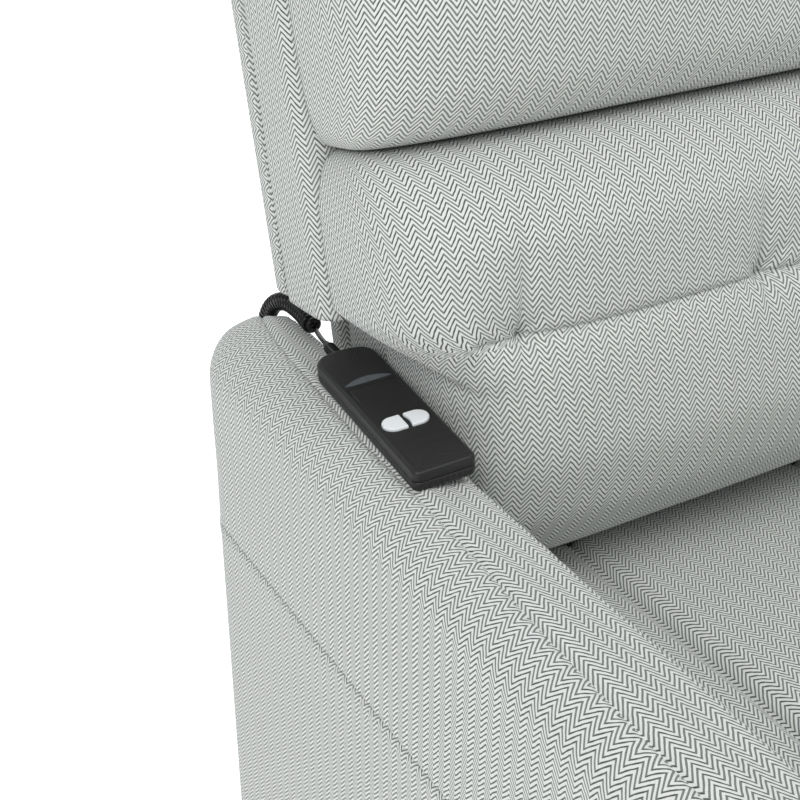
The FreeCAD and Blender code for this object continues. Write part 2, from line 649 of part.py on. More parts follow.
def build_arms():
    """Plywood arm panels, the padded upper arm that wraps them, and the hollow outer side panels."""
    inner = size["seat_width"] / 2
    outer = inner + size["arm_width"]
    skin = size["arm_skin"]
    board = size["arm_board"]
    top = size["arm_height"]
    crown = size["arm_crown"]
    seam = size["arm_seam"]
    k = 1 - math.sqrt(0.5)
    shoulder = size["arm_shoulder"]
    edge = ARM_EDGE
    board_x = inner + skin
    board_top = top - 42
    skin_low = size["rail_bottom"] + size["rail_deep"] + 5
    cross = [(inner, skin_low), (inner, top - edge), (inner + k * edge, top - k * edge, "arc"),
             (inner + edge, top), ((inner + edge + outer - shoulder) / 2, top + crown, "arc"),
             (outer - shoulder, top),
             (outer - k * shoulder, top - k * shoulder, "arc"), (outer, top - shoulder), (outer, seam),
             (board_x + board, seam), (board_x + board, skin_low)]
    roll = size["arm_roll"]
    front = -size["arm_front"]
    rear = size["arm_rear"]
    high = top + crown + 2
    profile = [(front, skin_low - 5), (rear, skin_low - 5), (rear, high - roll),
               (rear - k * roll, high - k * roll, "arc"), (rear - roll, high), (front + roll, high),
               (front + k * roll, high - k * roll, "arc"),
               (front, high - roll)]
    long = size["arm_front"] + size["arm_rear"]
    for side, sign in SIDES:
        across = prism(f"arm_across_{side}", "XZ_Plane", mirrored(cross, sign), "arm_front + arm_rear")
        place(across, y="arm_rear")
        beside = prism(f"arm_beside_{side}", "YZ_Plane", profile, "seat_width / 2 + arm_width + 5",
                       back=sign < 0)
        plan = prism(f"arm_plan_{side}", "XY_Plane", mirrored(arm_outline(inner, outer), sign),
                     "arm_height + 30")
        body = doc.addObject("Part::MultiCommon", f"arm_solid_{side}")
        body.Shapes = [across, beside, plan]
        x = board_x if sign > 0 else -board_x - board
        slot = box(f"arm_slot_{side}", "arm_board", f"{long - 40}", f"{board_top}", f"{x}", f"{front + 20}", "0")
        keep(cut(f"arm_padded_{side}", body, slot), f"arm_pad_{side}")
        keep(box(f"arm_panel_{side}", "arm_board", f"{long - 40}", f"{board_top} - arm_gap - 5", str(x),
                 f"{front + 20}", "arm_gap + 5"), f"arm_frame_{side}")

        shell = new_body(f"side_shell_{side}")
        wall = board_x + board
        plan = sketch_on(shell, "XY_Plane", mirrored(arm_outline(wall, outer), sign))
        pad(shell, plan, "arm_seam - arm_gap")
        doc.recompute()
        before = shell.Shape.Volume
        inset = size["side_skin"]
        hollow = arm_outline(wall - 1, outer, inset)
        hole = sketch_on(shell, "XY_Plane", mirrored(hollow, sign))
        pocket(shell, hole)
        doc.recompute()
        if shell.Shape.Volume >= before:
            raise ValueError("the side panel's hollow cuts nothing")
        place(shell, z="arm_gap")
        keep(shell, f"arm_side_panel_{side}")

        gap = "plate_inner + plate_thick"
        spacer = f"seat_width / 2 + arm_skin - ({gap})"
        keep(box(f"spacer_{side}", spacer, "80", "40", gap if sign > 0 else "-seat_width / 2 - arm_skin",
                 "30", "342"), f"arm_spacer_{side}")

    keep(box("rear_board", f"{2 * board_x}", "18", "80", f"{-board_x}", "334", "100"), "rear_rail")
    keep(box("rear_cover", "seat_width - 6", "8", "335", "-seat_width / 2 + 3", f"{REAR_COVER_Y}", "60"),
         "rear_panel")


def back_placement():
    return FreeCAD.Placement(V(0, size["back_pivot_y"], size["back_pivot_z"]),
                             FreeCAD.Rotation(V(1, 0, 0), -size["back_lean"]))


def build_back():
    """The back, drawn upright about its pivot and then leaned: frame, webbing, rear panel, border and pads."""
    lean = back_placement()
    high = size["back_high"]
    deep = size["back_deep"]
    rail = size["back_rail"]
    outer = size["plate_inner"] + size["plate_thick"] + size["layer_gap"]
    step = size["back_step"]
    stitch = size["stitch_level"]

    def leaned(thing, x, y, z):
        thing.Placement = lean.multiply(FreeCAD.Placement(V(x, y, z), FreeCAD.Rotation()))
        return thing

    def board(name, long, wide, tall, x, y, z):
        thing = doc.addObject("Part::Box", name)
        thing.Length, thing.Width, thing.Height = long, wide, tall
        return leaned(thing, x, y, z)

    boards = [board(f"back_rail_{side}", rail, deep, high - 46, outer - rail if sign > 0 else -outer,
                    -deep, 46) for side, sign in SIDES]
    for name, z in (("lower", 50), ("middle", 340), ("upper", high - 40)):
        boards.append(board(f"back_cross_{name}", 2 * (outer - rail), 26, 40, rail - outer, -deep + 18, z))
    keep(fuse("back_box", *boards), "back_frame")

    first, last, count = 90, high - 74, 7
    pitch = (last - first) / (count - 1)
    straps = [board(f"back_strap_{n}", 2 * outer, size["web_thick"], size["web_wide"], -outer,
                    -deep - size["web_thick"], first + n * pitch) for n in range(count)]
    keep(group("back_straps", *straps), "back_webbing")

    half = size["back_half"]
    flare = size["back_flare"]
    low_half = size["seat_width"] / 2 - 7
    between = low_half - 5
    top = high + 10
    round_top = 38
    k = 1 - math.sqrt(0.5)
    top_half = half + flare

    def wide_outline(low, inner):
        """Front view of the back's wide upper part, its ring closed by the inner points given."""
        points = [(half, low), (top_half, top - round_top),
                  (top_half - k * round_top, top - k * round_top, "arc"), (top_half - round_top, top),
                  (-top_half + round_top, top),
                  (-top_half + k * round_top, top - k * round_top, "arc"),
                  (-top_half, top - round_top), (-half, low)]
        return points + inner

    cover = new_body("rear_skin")
    narrow = [(-low_half, step), (-low_half, 48), (low_half, 48), (low_half, step)]
    pad(cover, sketch_on(cover, "XZ_Plane", wide_outline(step, narrow)), "back_cover")
    leaned(cover, 0, size["back_cover"], 0)
    keep(cover, "back_rear_panel")

    gap = 0.3
    border = new_body("border")
    inner = outer + gap
    leg = stitch - 37
    inside = [(-between, step), (-between, leg), (-inner, leg), (-inner, high + gap), (inner, high + gap),
              (inner, leg), (between, leg), (between, step)]
    pad(border, sketch_on(border, "XZ_Plane", wide_outline(step, inside)), "back_deep")
    leaned(border, 0, -gap, 0)
    keep(border, "back_border")

    brackets = []
    for side, sign in SIDES:
        bracket = side_bar(f"back_bracket_{side}", sign, LAYER_FOOT, "link_thick",
                           [(0, 0), (-33, 70), (-33, 230)], "lift_wide",
                           inward=[(0, 0, "journal_radius", "plate_thick + layer_gap")])
        bracket.setExpression("Placement.Base.x", None)
        bracket.setExpression("Placement.Base.y", None)
        bracket.setExpression("Placement.Base.z", None)
        leaned(bracket, sign * outer, 0, 0)
        brackets.append(bracket)
    keep(group("back_irons", *brackets), "back_brackets")

    # Pads: each level is (height, half width, depth at the middle, depth at the tuft lines)
    bulge = size["lumbar_bulge"]
    head = size["head_bulge"]
    crease = size["crease_level"]
    lumbar = [(88, between - 13, 96, 96), (118, between - 2, 150, 148), (160, between, bulge - 16, bulge - 20),
              (208, between, bulge, bulge - 5), (stitch - 30, between, bulge - 6, bulge - 13),
              (stitch, between + 7, bulge - 22, bulge - 34), (step - 6, half - 20, bulge - 21, bulge - 31),
              (step + 10, half - 8, bulge - 19, bulge - 27),
              (crease - 36, half - 8, bulge - 34, bulge - 38), (crease - 3, half - 18, bulge - 70, bulge - 72)]
    upper = [(crease, half - 18, head - 46, head - 48), (crease + 18, half - 9, head - 24, head - 27),
             (crease + 90, half - 5, head, head - 4), (high - 68, half - 4, head - 4, head - 8),
             (high - 24, half - 6, head - 24, head - 26), (high + 2, half - 14, head - 58, head - 59),
             (high + 12, half - 28, head - 86, head - 86)]
    rear = deep + size["web_thick"] + gap
    for label, levels in (("back_lumbar_pad", lumbar), ("back_head_pad", upper)):
        wires = [pad_section(rear, *level) for level in levels]
        loft(label + "_form", wires, label, lean)


def pad_section(rear, height, half, middle, tuft):
    """One level of a back pad: flat rear, drawn-in sides and a front that dips at the three tuft lines."""
    pitch = size["tuft_pitch"]
    shoulder = min(46, half - pitch - 12)
    side = rear + (middle - rear) * 0.42
    x = half - shoulder
    front = -middle + 3
    swell = 5
    corners = [(-half, -rear), (-half, -side), (-half + 0.2 * shoulder, front + 0.2 * (middle - side), "arc"),
               (-x, front), (-(x + pitch) / 2, (front - tuft) / 2 - 2, "arc"), (-pitch, -tuft),
               (-pitch / 2, -middle - swell, "arc"), (0, -tuft), (pitch / 2, -middle - swell, "arc"),
               (pitch, -tuft), ((x + pitch) / 2, (front - tuft) / 2 - 2, "arc"), (x, front),
               (half - 0.2 * shoulder, front + 0.2 * (middle - side), "arc"), (half, -side), (half, -rear)]
    return section(corners, lambda a, b: V(a, b, height))


def build_footrest():
    """Footrest panel and the double parallelogram linkage that swings it out and turns it level."""
    pivot = "pivot_radius"
    running = "pivot_radius + pin_fit"
    loose = "pivot_radius + loose_fit"
    reach = "2 * link_thick + layer_gap"
    sink = "plate_thick + layer_gap"
    sets = {"footrest_front_links": [], "footrest_rear_links": [], "footrest_upper_links": [],
            "footrest_lower_links": [], "footrest_brackets": []}
    for side, sign in SIDES:
        sets["footrest_front_links"].append(side_bar(
            f"foot_front_{side}", sign, LAYER_FOOT, "link_thick", [FOOT_FRONT_PIVOT, FOOT_LINK_END], "link_wide",
            outward=[(*FOOT_CROSS, pivot, reach), (*FOOT_LINK_END, pivot, reach)],
            inward=[(*FOOT_FRONT_PIVOT, pivot, sink)]))
        sets["footrest_rear_links"].append(side_bar(
            f"foot_rear_{side}", sign, LAYER_FOOT, "link_thick", [FOOT_REAR_PIVOT, FOOT_REAR_END], "link_wide",
            outward=[(*FOOT_REAR_END, pivot, reach)], inward=[(*FOOT_REAR_PIVOT, pivot, sink)]))
        sets["footrest_upper_links"].append(side_bar(
            f"foot_upper_{side}", sign, LAYER_CROSS, "link_thick",
            [FOOT_REAR_END, FOOT_CROSS, FOOT_BRACKET_TOP], "link_wide",
            [(*FOOT_REAR_END, loose), (*FOOT_CROSS, running), (*FOOT_BRACKET_TOP, running)]))
        sets["footrest_lower_links"].append(side_bar(
            f"foot_lower_{side}", sign, LAYER_CROSS, "link_thick", [FOOT_LINK_END, FOOT_BRACKET_LOW],
            "link_wide", [(*FOOT_LINK_END, running), (*FOOT_BRACKET_LOW, loose)]))
        back_of_board = -375 + size["foot_board"]
        iron = side_plate(f"foot_iron_{side}", sign, LAYER_BRACKET, "link_thick",
                          [(back_of_board, 120), (back_of_board, 330), (back_of_board + 10, 330),
                           (FOOT_BRACKET_TOP[0] + 14, FOOT_BRACKET_TOP[1] + 12),
                           (FOOT_BRACKET_LOW[0] + 14, FOOT_BRACKET_LOW[1] - 14), (back_of_board + 10, 120)],
                          [(back_of_board + 6, 310, "2")],
                          [(*FOOT_BRACKET_TOP, pivot, "link_thick + layer_gap"),
                           (*FOOT_BRACKET_LOW, pivot, "link_thick + layer_gap")], corner=3)
        sets["footrest_brackets"].append(iron)
    for label, things in sets.items():
        keep(group(label + "_pair", *things), label)

    half = size["seat_width"] / 2 - 7
    keep(box("foot_panel", f"{2 * half}", "foot_board", "foot_high", f"{-half}", "-375", "foot_bottom"),
         "footrest_board")
    bottom = size["foot_bottom"]
    top = bottom + size["foot_high"]
    # across, thickness of the padding there
    full = size["foot_pad"]
    wires = []
    for x, thick in ((-half, full - 10), (-half + 14, full - 3), (-half / 2, full), (0, full + 1),
                     (half / 2, full), (half - 14, full - 3), (half, full - 10)):
        face = -375.3
        corners = [(face, bottom), (face, top), (face - thick * 0.75, top - 4, "arc"), (face - thick, top - 22),
                   (face - thick - 2.5, (top + bottom) / 2, "arc"), (face - thick, bottom + 22),
                   (face - thick * 0.75, bottom + 4, "arc")]
        wires.append(section(corners, lambda a, b, x=x: V(x, a, b)))
    loft("foot_cushion", wires, "footrest_pad")


def handset_outline(inset):
    """Plan of the handset: straight sides, a softly domed cord end and small corners at the front."""
    half = size["handset_wide"] / 2 - inset
    front = -size["handset_long"] / 2 + inset
    rear = size["handset_long"] / 2 - inset
    corner = 6 - inset
    k = 1 - math.sqrt(0.5)
    turn = 14 - inset
    dome = 50 - inset
    lean = math.asin((half - turn) / (dome - turn))
    up = rear - dome + (dome - turn) * math.cos(lean)
    seam = (dome * math.sin(lean), rear - dome + dome * math.cos(lean))
    along = lean / 2 + math.pi / 4
    bend = (half - turn + turn * math.sin(along), up + turn * math.cos(along))
    return [(-half + corner, front), (half - corner, front), (half - k * corner, front + k * corner, "arc"),
            (half, front + corner), (half, up), (*bend, "arc"), seam, (0, rear, "arc"), (-seam[0], seam[1]),
            (-bend[0], bend[1], "arc"), (-half, up), (-half, front + corner),
            (-half + k * corner, front + k * corner, "arc")]


def button_outline(sign, grow=0):
    """One half of the stadium that the two buttons form. The inner edge of the right half is hollowed."""
    half = size["button_long"] / 2
    r = size["button_wide"] / 2
    gap = size["button_gap"] / 2 - grow
    y = -size["button_place"]
    r_out = r + grow
    end = half - r
    ring = [(gap, y - r_out), (end, y - r_out), (half + grow, y, "arc"), (end, y + r_out), (gap, y + r_out)]
    if sign > 0:
        ring.append((gap + size["button_hollow"], y, "arc"))
    return mirrored(ring, sign)


def bevelled(body, block, level, name):
    """Bevel the outline of a shell at one level."""
    edges = [f"Edge{n}" for n, e in enumerate(block.Shape.Edges, start=1)
             if abs(e.BoundBox.ZMin - level) < 0.1 and abs(e.BoundBox.ZMax - level) < 0.1]
    bevel = body.newObject("PartDesign::Chamfer", name)
    bevel.Base = (block, edges)
    bind(bevel, Size="handset_bevel")
    doc.recompute()
    return bevel


def handset_placement():
    """The handset lies on the crown of the arm, turned and tipped a little."""
    roll = math.radians(size["handset_roll"])
    edge_in = size["seat_width"] / 2 + ARM_EDGE
    edge_out = size["seat_width"] / 2 + size["arm_width"] - size["arm_shoulder"]
    across = size["handset_in"] - (edge_in + edge_out) / 2
    swing = size["handset_long"] / 2 * math.sin(math.radians(-size["handset_turn"]))
    rise = math.tan(roll) * (size["handset_in"] + swing)
    floor = size["arm_height"] + size["arm_crown"] + size["handset_gap"] + rise
    turned = FreeCAD.Rotation(V(0, 0, 1), size["handset_turn"])
    tipped = FreeCAD.Rotation(V(0, 1, 0), -size["handset_roll"])
    return FreeCAD.Placement(V(across, size["handset_y"], floor), turned.multiply(tipped))


def build_handset():
    """Two shells, the circuit board between them, the two buttons and the cord's strain relief."""
    where = handset_placement()
    wall = size["handset_wall"]
    high = size["handset_high"]
    split = size["handset_split"]
    board_low = size["circuit_low"]
    place_y = -size["button_place"]

    lower = new_body("lower_shell")
    block = pad(lower, sketch_on(lower, "XY_Plane", handset_outline(0)), "handset_split")
    doc.recompute()
    bevelled(lower, block, 0, "lower_bevel")
    solid = lower.Shape.Volume
    hollow = sketch_on(lower, "XY_Plane", handset_outline(wall))
    hollow.AttachmentOffset = FreeCAD.Placement(V(0, 0, split), FreeCAD.Rotation())
    pocket(lower, hollow, "handset_split - handset_wall")
    for x in (-14, 14):
        for y in (-66, 44):
            post = sketch_on(lower, "XY_Plane")
            post.addGeometry(Part.Circle(V(x, y, 0), V(0, 0, 1), 2.5), False)
            pad(lower, post, "circuit_low")
    doc.recompute()
    if lower.Shape.Volume >= solid:
        raise ValueError("the lower shell is not hollow")
    lower.Placement = where
    keep(lower, "handset_lower_shell")

    board = new_body("circuit")
    plate = sketch_on(board, "XY_Plane", handset_outline(wall + 0.8))
    plate.AttachmentOffset = FreeCAD.Placement(V(0, 0, board_low), FreeCAD.Rotation())
    pad(board, plate, "1.6")
    for x in (-9, 9):
        near, far = place_y - 3, place_y + 3
        switch = sketch_on(board, "XY_Plane", [(x - 3, near), (x + 3, near), (x + 3, far), (x - 3, far)])
        switch.AttachmentOffset = FreeCAD.Placement(V(0, 0, board_low), FreeCAD.Rotation())
        pad(board, switch, "button_foot - circuit_low - 1")
    board.Placement = where
    keep(board, "handset_circuit_board")

    upper = new_body("upper_shell")
    rim = sketch_on(upper, "XY_Plane", handset_outline(0))
    rim.AttachmentOffset = FreeCAD.Placement(V(0, 0, split), FreeCAD.Rotation())
    block = pad(upper, rim, "handset_high - handset_split")
    doc.recompute()
    bevelled(upper, block, high, "upper_bevel")
    solid = upper.Shape.Volume
    inside = sketch_on(upper, "XY_Plane", handset_outline(wall))
    inside.AttachmentOffset = FreeCAD.Placement(V(0, 0, split), FreeCAD.Rotation())
    pocket(upper, inside, "handset_high - handset_split - handset_wall - 1", back=True)
    doc.recompute()
    if upper.Shape.Volume >= solid:
        raise ValueError("the upper shell is not hollow")
    for sign in (-1, 1):
        pocket(upper, sketch_on(upper, "XY_Plane", button_outline(sign, size["button_fit"])))
    dish = sketch_on(upper, "XY_Plane", [(-19, 34.4), (0, 33.8, "arc"), (19, 34.4), (0, 41.4, "arc")])
    dish.AttachmentOffset = FreeCAD.Placement(V(0, 0, high), FreeCAD.Rotation())
    pocket(upper, dish, "1.2")
    upper.Placement = where
    keep(upper, "handset_upper_shell")

    for label, sign in (("button_raise", -1), ("button_recline", 1)):
        button = new_body(label + "_cap")
        face = sketch_on(button, "XY_Plane", button_outline(sign))
        face.AttachmentOffset = FreeCAD.Placement(V(0, 0, size["button_foot"]), FreeCAD.Rotation())
        cap = pad(button, face, "handset_high + button_rise - button_foot")
        doc.recompute()
        crest = [f"Edge{n}" for n, e in enumerate(cap.Shape.Edges, start=1)
                 if e.BoundBox.ZMin > high + size["button_rise"] - 0.1]
        ease = button.newObject("PartDesign::Fillet", label + "_edge")
        ease.Base = (cap, crest)
        ease.Radius = 0.7
        button.Placement = where
        keep(button, label)

    boot = new_body("cord_boot")
    radius = size["boot_radius"]
    start = size["handset_long"] / 2 + 0.1
    long = size["boot_long"]
    ribs = 8
    pitch = 2.6
    sleeve = size["cord_wide"] / 2 + 0.9
    profile = [(0, 0)]
    for n in range(ribs):
        wide = radius - n * 0.1
        profile += [(wide, n * pitch), (wide - 0.9, (n + 0.5) * pitch)]
    profile += [(radius - ribs * 0.1, ribs * pitch), (sleeve, ribs * pitch), (sleeve, long), (0, long)]
    sketch = sketch_on(boot, "XY_Plane", profile)
    turned = boot.newObject("PartDesign::Revolution", "boot_turned")
    turned.Profile = sketch
    turned.ReferenceAxis = (sketch, ["V_Axis"])
    turned.Angle = 360
    exit_high = high / 2 - 0.7
    boot.Placement = where.multiply(FreeCAD.Placement(V(0, start, exit_high), FreeCAD.Rotation()))
    keep(boot, "handset_cord_boot")
    return boot.Placement.multVec(V(0, long + 0.02, 0))


# Points of the cord as (outwards from the left arm's inner face, y, z).
# Middle line of the curly part, from the handset's end over the rear of the arm and down behind it
CURL_ROUTE = [(5.8, 293, 655.6), (2.6, 318, 655.8), (1.5, 334, 655.6), (2.5, 352.5, 654.9),
              (5.5, 369.5, 646.2), (7.5, 380.8, 628.5), (8.5, 383.6, 602), (8.5, 383.6, 568),
              (8.5, 383.6, 535)]
# Smooth lead behind the arm, from the curls to the gland in the rear panel
TAIL_ROUTE = [(8, 383.4, 475), (6.4, 383, 420), (3.6, 382.6, 364), (-0.2, 382.6, 309), (-4.6, 383, 256),
              (-9.2, 384, 210), (-13.6, 385.4, 176), (-16.6, 386.2, 148.6)]
GLAND = (-17, 141)


def beside_arm(points):
    """Route points in the chair's frame."""
    face = -size["seat_width"] / 2
    return [(face - out, y, z) for out, y, z in points]


def smooth_line(points, count):
    """Points and directions at even steps along a curve through the route."""
    curve = Part.BSplineCurve()
    curve.interpolate([V(*p) for p in points])
    long = curve.length()
    steps = []
    for n in range(count + 1):
        t = curve.parameterAtDistance(long * n / count, curve.FirstParameter)
        steps.append((curve.value(t), curve.tangent(t)[0]))
    return steps, long


def biarc(p0, t0, p1, t1):
    """Two arcs that leave p0 along t0 and reach p1 along t1 without a kink."""
    chord = p1 - p0
    summed = t0 + t1
    a = 2 * (1 - t0.dot(t1))
    b = 2 * chord.dot(summed)
    c = -chord.dot(chord)
    if abs(a) < 1e-9:
        d = -c / b
    else:
        d = (-b + math.sqrt(b * b - 4 * a * c)) / (2 * a)
    middle = (p0 + p1 + (t0 - t1) * d) * 0.5
    edges = []
    for start, direction, end in ((p0, t0, middle), (middle, None, p1)):
        if direction is None:
            direction = (p1 - t1 * d - (p0 + t0 * d)).normalize()
        span = end - start
        side = span - direction * span.dot(direction)
        if side.Length < 1e-7:
            edges.append(Part.makeLine(start, end))
            continue
        angle = 2 * math.atan2(side.Length, span.dot(direction))
        radius = span.Length / (2 * math.sin(angle / 2))
        side.normalize()
        half = start + direction * (radius * math.sin(angle / 2))
        half += side * (radius * (1 - math.cos(angle / 2)))
        edges.append(Part.Arc(start, half, end).toShape())
    return edges


def build_coil():
    """The curly part of the handset cord as one unbroken tube wound about its middle line."""
    count = int(size["curl_count"])
    radius = (size["curl_wide"] - size["cord_wide"]) / 2
    sides = 4
    per_turn = 2
    steps, long = smooth_line(beside_arm(CURL_ROUTE), 400)
    total = count * per_turn

    def centre(u):
        place_on = u * (len(steps) - 1)
        n = min(int(place_on), len(steps) - 2)
        part = place_on - n
        point = steps[n][0] * (1 - part) + steps[n + 1][0] * part
        along = (steps[n][1] * (1 - part) + steps[n + 1][1] * part).normalize()
        across = V(1, 0, 0)
        across = (across - along * across.dot(along)).normalize()
        return point, along, across, along.cross(across)

    def on_curl(u):
        """Turns are wider apart near the handset, where the cord is pulled. They grow out of straight ends."""
        point, along, across, up = centre(u)
        turns = count * (u + 0.055 * (math.exp(-7 * u) - 1) * (1 - u))
        grown = min(turns, count - turns) / 1.5
        wide = radius * (grown * grown * (3 - 2 * grown) if grown < 1 else 1)
        angle = 2 * math.pi * turns
        return point + (across * math.cos(angle) + up * math.sin(angle)) * wide

    def slope(u):
        h = 1e-4
        low, high = max(u - h, 0), min(u + h, 1)
        return (on_curl(high) - on_curl(low)).normalize()

    ends = size["cord_wide"]
    points = [on_curl(n / total) for n in range(total + 1)]
    slopes = [slope(n / total) for n in range(total + 1)]
    edges = []
    for n in range(total):
        edges += biarc(points[n], slopes[n], points[n + 1], slopes[n + 1])
    start = points[0] - slopes[0] * ends
    finish = points[-1] + slopes[-1] * ends
    edges = [Part.makeLine(start, points[0])] + edges + [Part.makeLine(points[-1], finish)]
    path = Part.Wire(edges)

    least = 1e9
    fine = [on_curl(n / (count * 24)) for n in range(count * 24 + 1)]
    for i in range(len(fine)):
        run = 0
        for j in range(i + 1, min(i + 60, len(fine))):
            run += (fine[j] - fine[j - 1]).Length
            if run > 3 * size["cord_wide"]:
                least = min(least, (fine[i] - fine[j]).Length)
    print(f"coil: line {long:.1f} mm, least gap between turns {least - size['cord_wide']:.2f} mm")

    tube = sweep(path, start, slopes[0], size["cord_wide"] / 2, sides)
    thing = doc.addObject("Part::Feature", "curls")
    thing.Shape = tube
    keep(thing, "handset_cord_coil")
    print(f"coil: cord length {path.Length:.0f} mm, volume {tube.Volume:.0f}")
    return start, slopes[0], finish, slopes[-1]


def sweep(path, start, direction, radius, sides):
    """A tube of many flat sides, or a round one when no number of sides is given, along a path."""
    if sides:
        helper = V(0, 0, 1) if abs(direction.z) < 0.9 else V(1, 0, 0)
        a = direction.cross(helper).normalize()
        b = direction.cross(a)
        corner = radius * math.sqrt(2 * math.pi / (sides * math.sin(2 * math.pi / sides)))
        ring = [start + (a * math.cos(2 * math.pi * n / sides) + b * math.sin(2 * math.pi * n / sides)) * corner
                for n in range(sides)]
        profile = Part.makePolygon(ring + [ring[0]])
    else:
        profile = Part.Wire([Part.makeCircle(radius, start, direction)])
    return path.makePipeShell([profile], True, False)


def rounded_path(name, points):
    """Straight runs joined by tangent arcs whose radius follows the shorter run at each point."""
    points = [V(*p) for p in points]
    edges = []
    last = points[0]
    radii = []
    for before, at, after in zip(points, points[1:], points[2:]):
        back = (before - at)
        ahead = (after - at)
        shorter = min(back.Length, ahead.Length)
        back.normalize()
        ahead.normalize()
        turn = math.pi - back.getAngle(ahead)
        radius = 0.45 * shorter / math.tan(turn / 2)
        radii.append(radius)
        trim = 0.45 * shorter
        a = at + back * trim
        b = at + ahead * trim
        bisector = (back + ahead).normalize()
        middle = at + bisector * (radius / math.cos(turn / 2) - radius)
        edges.append(Part.makeLine(last, a))
        edges.append(Part.Arc(a, middle, b).toShape())
        last = b
    edges.append(Part.makeLine(last, points[-1]))
    print(f"{name}: length {sum(e.Length for e in edges):.1f}, bend radii", [round(r, 1) for r in radii])
    return Part.Wire(edges)


def cord_tube(name, points):
    path = rounded_path(name, points)
    thing = doc.addObject("Part::Feature", name + "_tube")
    start = V(*points[0])
    radius = size["cord_wide"] / 2
    tube = sweep(path, start, (V(*points[1]) - start).normalize(), radius, 6)
    ratio = tube.Volume / (path.Length * math.pi * radius ** 2)
    if abs(ratio - 1) > 0.02:
        raise ValueError(f"{name}: the tube's volume is off by a factor of {ratio:.3f}")
    thing.Shape = tube
    return keep(thing, name)


def build_cord(boot_end):
    """Smooth lead from the strain relief, the curls, and the lead down to the gland in the rear panel."""
    start, slope, finish, out = build_coil()
    turn = math.radians(-size["handset_turn"])
    rise = boot_end + V(math.sin(turn), math.cos(turn), 0) * 8
    cord_tube("handset_cord_lead", [boot_end, rise, start - slope * 8, start])

    long = 8
    gland = new_body("gland_boss")
    sketch = sketch_on(gland, "XY_Plane", [(0, 0), (7, 0), (7, 2), (4.2, long), (0, long)])
    turned = gland.newObject("PartDesign::Revolution", "gland_turned")
    turned.Profile = sketch
    turned.ReferenceAxis = (sketch, ["V_Axis"])
    turned.Angle = 360
    gland_x = -size["seat_width"] / 2 - GLAND[0]
    place(gland, str(gland_x), str(REAR_COVER_Y + 8), str(GLAND[1]))
    keep(gland, "cord_gland")

    entry = V(gland_x, REAR_COVER_Y + 8.02 + long, GLAND[1])
    cord_tube("handset_cord_tail", [finish, finish + out * 30, *beside_arm(TAIL_ROUTE), entry + V(0, 10.6, 0),
                                    entry])


build_base()
build_lift_links()
build_mechanism()
build_actuator()
build_seat()
build_arms()
build_back()
build_footrest()
build_cord(build_handset())

doc.recompute()
for thing in doc.Objects:
    if "Invalid" in thing.State or "Error" in thing.State:
        raise ValueError(f"{thing.Name} failed: {thing.State}")
for thing in pieces:
    shape = thing.Shape
    if shape.isNull() or not shape.isValid() or not shape.Solids:
        raise ValueError(f"{thing.Label} has no valid solid")
for thing in pieces:
    thing.Shape.exportStep(f"parts/{thing.Label}.step")
print(len(pieces), "sub-parts written")
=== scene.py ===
"""Looks of a lift recliner chair in herringbone cloth, with its wired handset lying on the left arm."""
import json
import math

import bmesh
import bpy
import numpy as np
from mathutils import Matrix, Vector


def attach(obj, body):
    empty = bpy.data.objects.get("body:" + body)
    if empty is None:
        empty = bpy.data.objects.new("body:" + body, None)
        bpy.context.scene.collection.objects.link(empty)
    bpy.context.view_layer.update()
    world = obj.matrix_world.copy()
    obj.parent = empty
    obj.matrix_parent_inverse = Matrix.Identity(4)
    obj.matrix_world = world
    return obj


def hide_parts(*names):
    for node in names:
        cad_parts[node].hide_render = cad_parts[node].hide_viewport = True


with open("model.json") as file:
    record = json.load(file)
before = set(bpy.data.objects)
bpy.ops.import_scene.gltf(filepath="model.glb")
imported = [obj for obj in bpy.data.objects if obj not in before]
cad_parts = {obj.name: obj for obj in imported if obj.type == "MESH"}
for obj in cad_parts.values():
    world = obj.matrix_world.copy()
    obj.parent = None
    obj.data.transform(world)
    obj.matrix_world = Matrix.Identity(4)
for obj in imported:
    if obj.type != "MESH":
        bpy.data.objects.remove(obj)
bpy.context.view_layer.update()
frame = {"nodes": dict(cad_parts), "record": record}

# The camera stands ahead of the left arm and looks down over it to the seat and the back.

camera = bpy.data.objects.new("camera", bpy.data.cameras.new("camera"))
bpy.context.collection.objects.link(camera)
camera.location = (-0.70243, -0.59774, 1.16574)
camera.rotation_euler = Vector((0.433, 0.75, -0.5)).to_track_quat("-Z", "Y").to_euler()
camera.data.lens = 65.25
camera.data.sensor_width = 36
camera.data.clip_end = 20
bpy.context.scene.camera = camera
bpy.context.scene.view_settings.view_transform = "Standard"

# The room: soft daylight from all round, white where the camera sees it, and three large soft lamps.


def linear(text):
    """Colour of a hex value as linear light, with full alpha."""
    parts = [int(text[i:i + 2], 16) / 255 for i in (1, 3, 5)]
    return [p / 12.92 if p <= 0.04045 else ((p + 0.055) / 1.055) ** 2.4 for p in parts] + [1]


def node(tree, kind, inputs=None, **settings):
    """Adds a shader node, sets its options and fills or links its inputs, and gives back its outputs."""
    made = tree.nodes.new("ShaderNode" + kind)
    for name, value in settings.items():
        setattr(made, name, value)
    for key, value in (inputs or {}).items():
        if isinstance(value, bpy.types.NodeSocket):
            tree.links.new(value, made.inputs[key])
        else:
            made.inputs[key].default_value = value
    return made.outputs


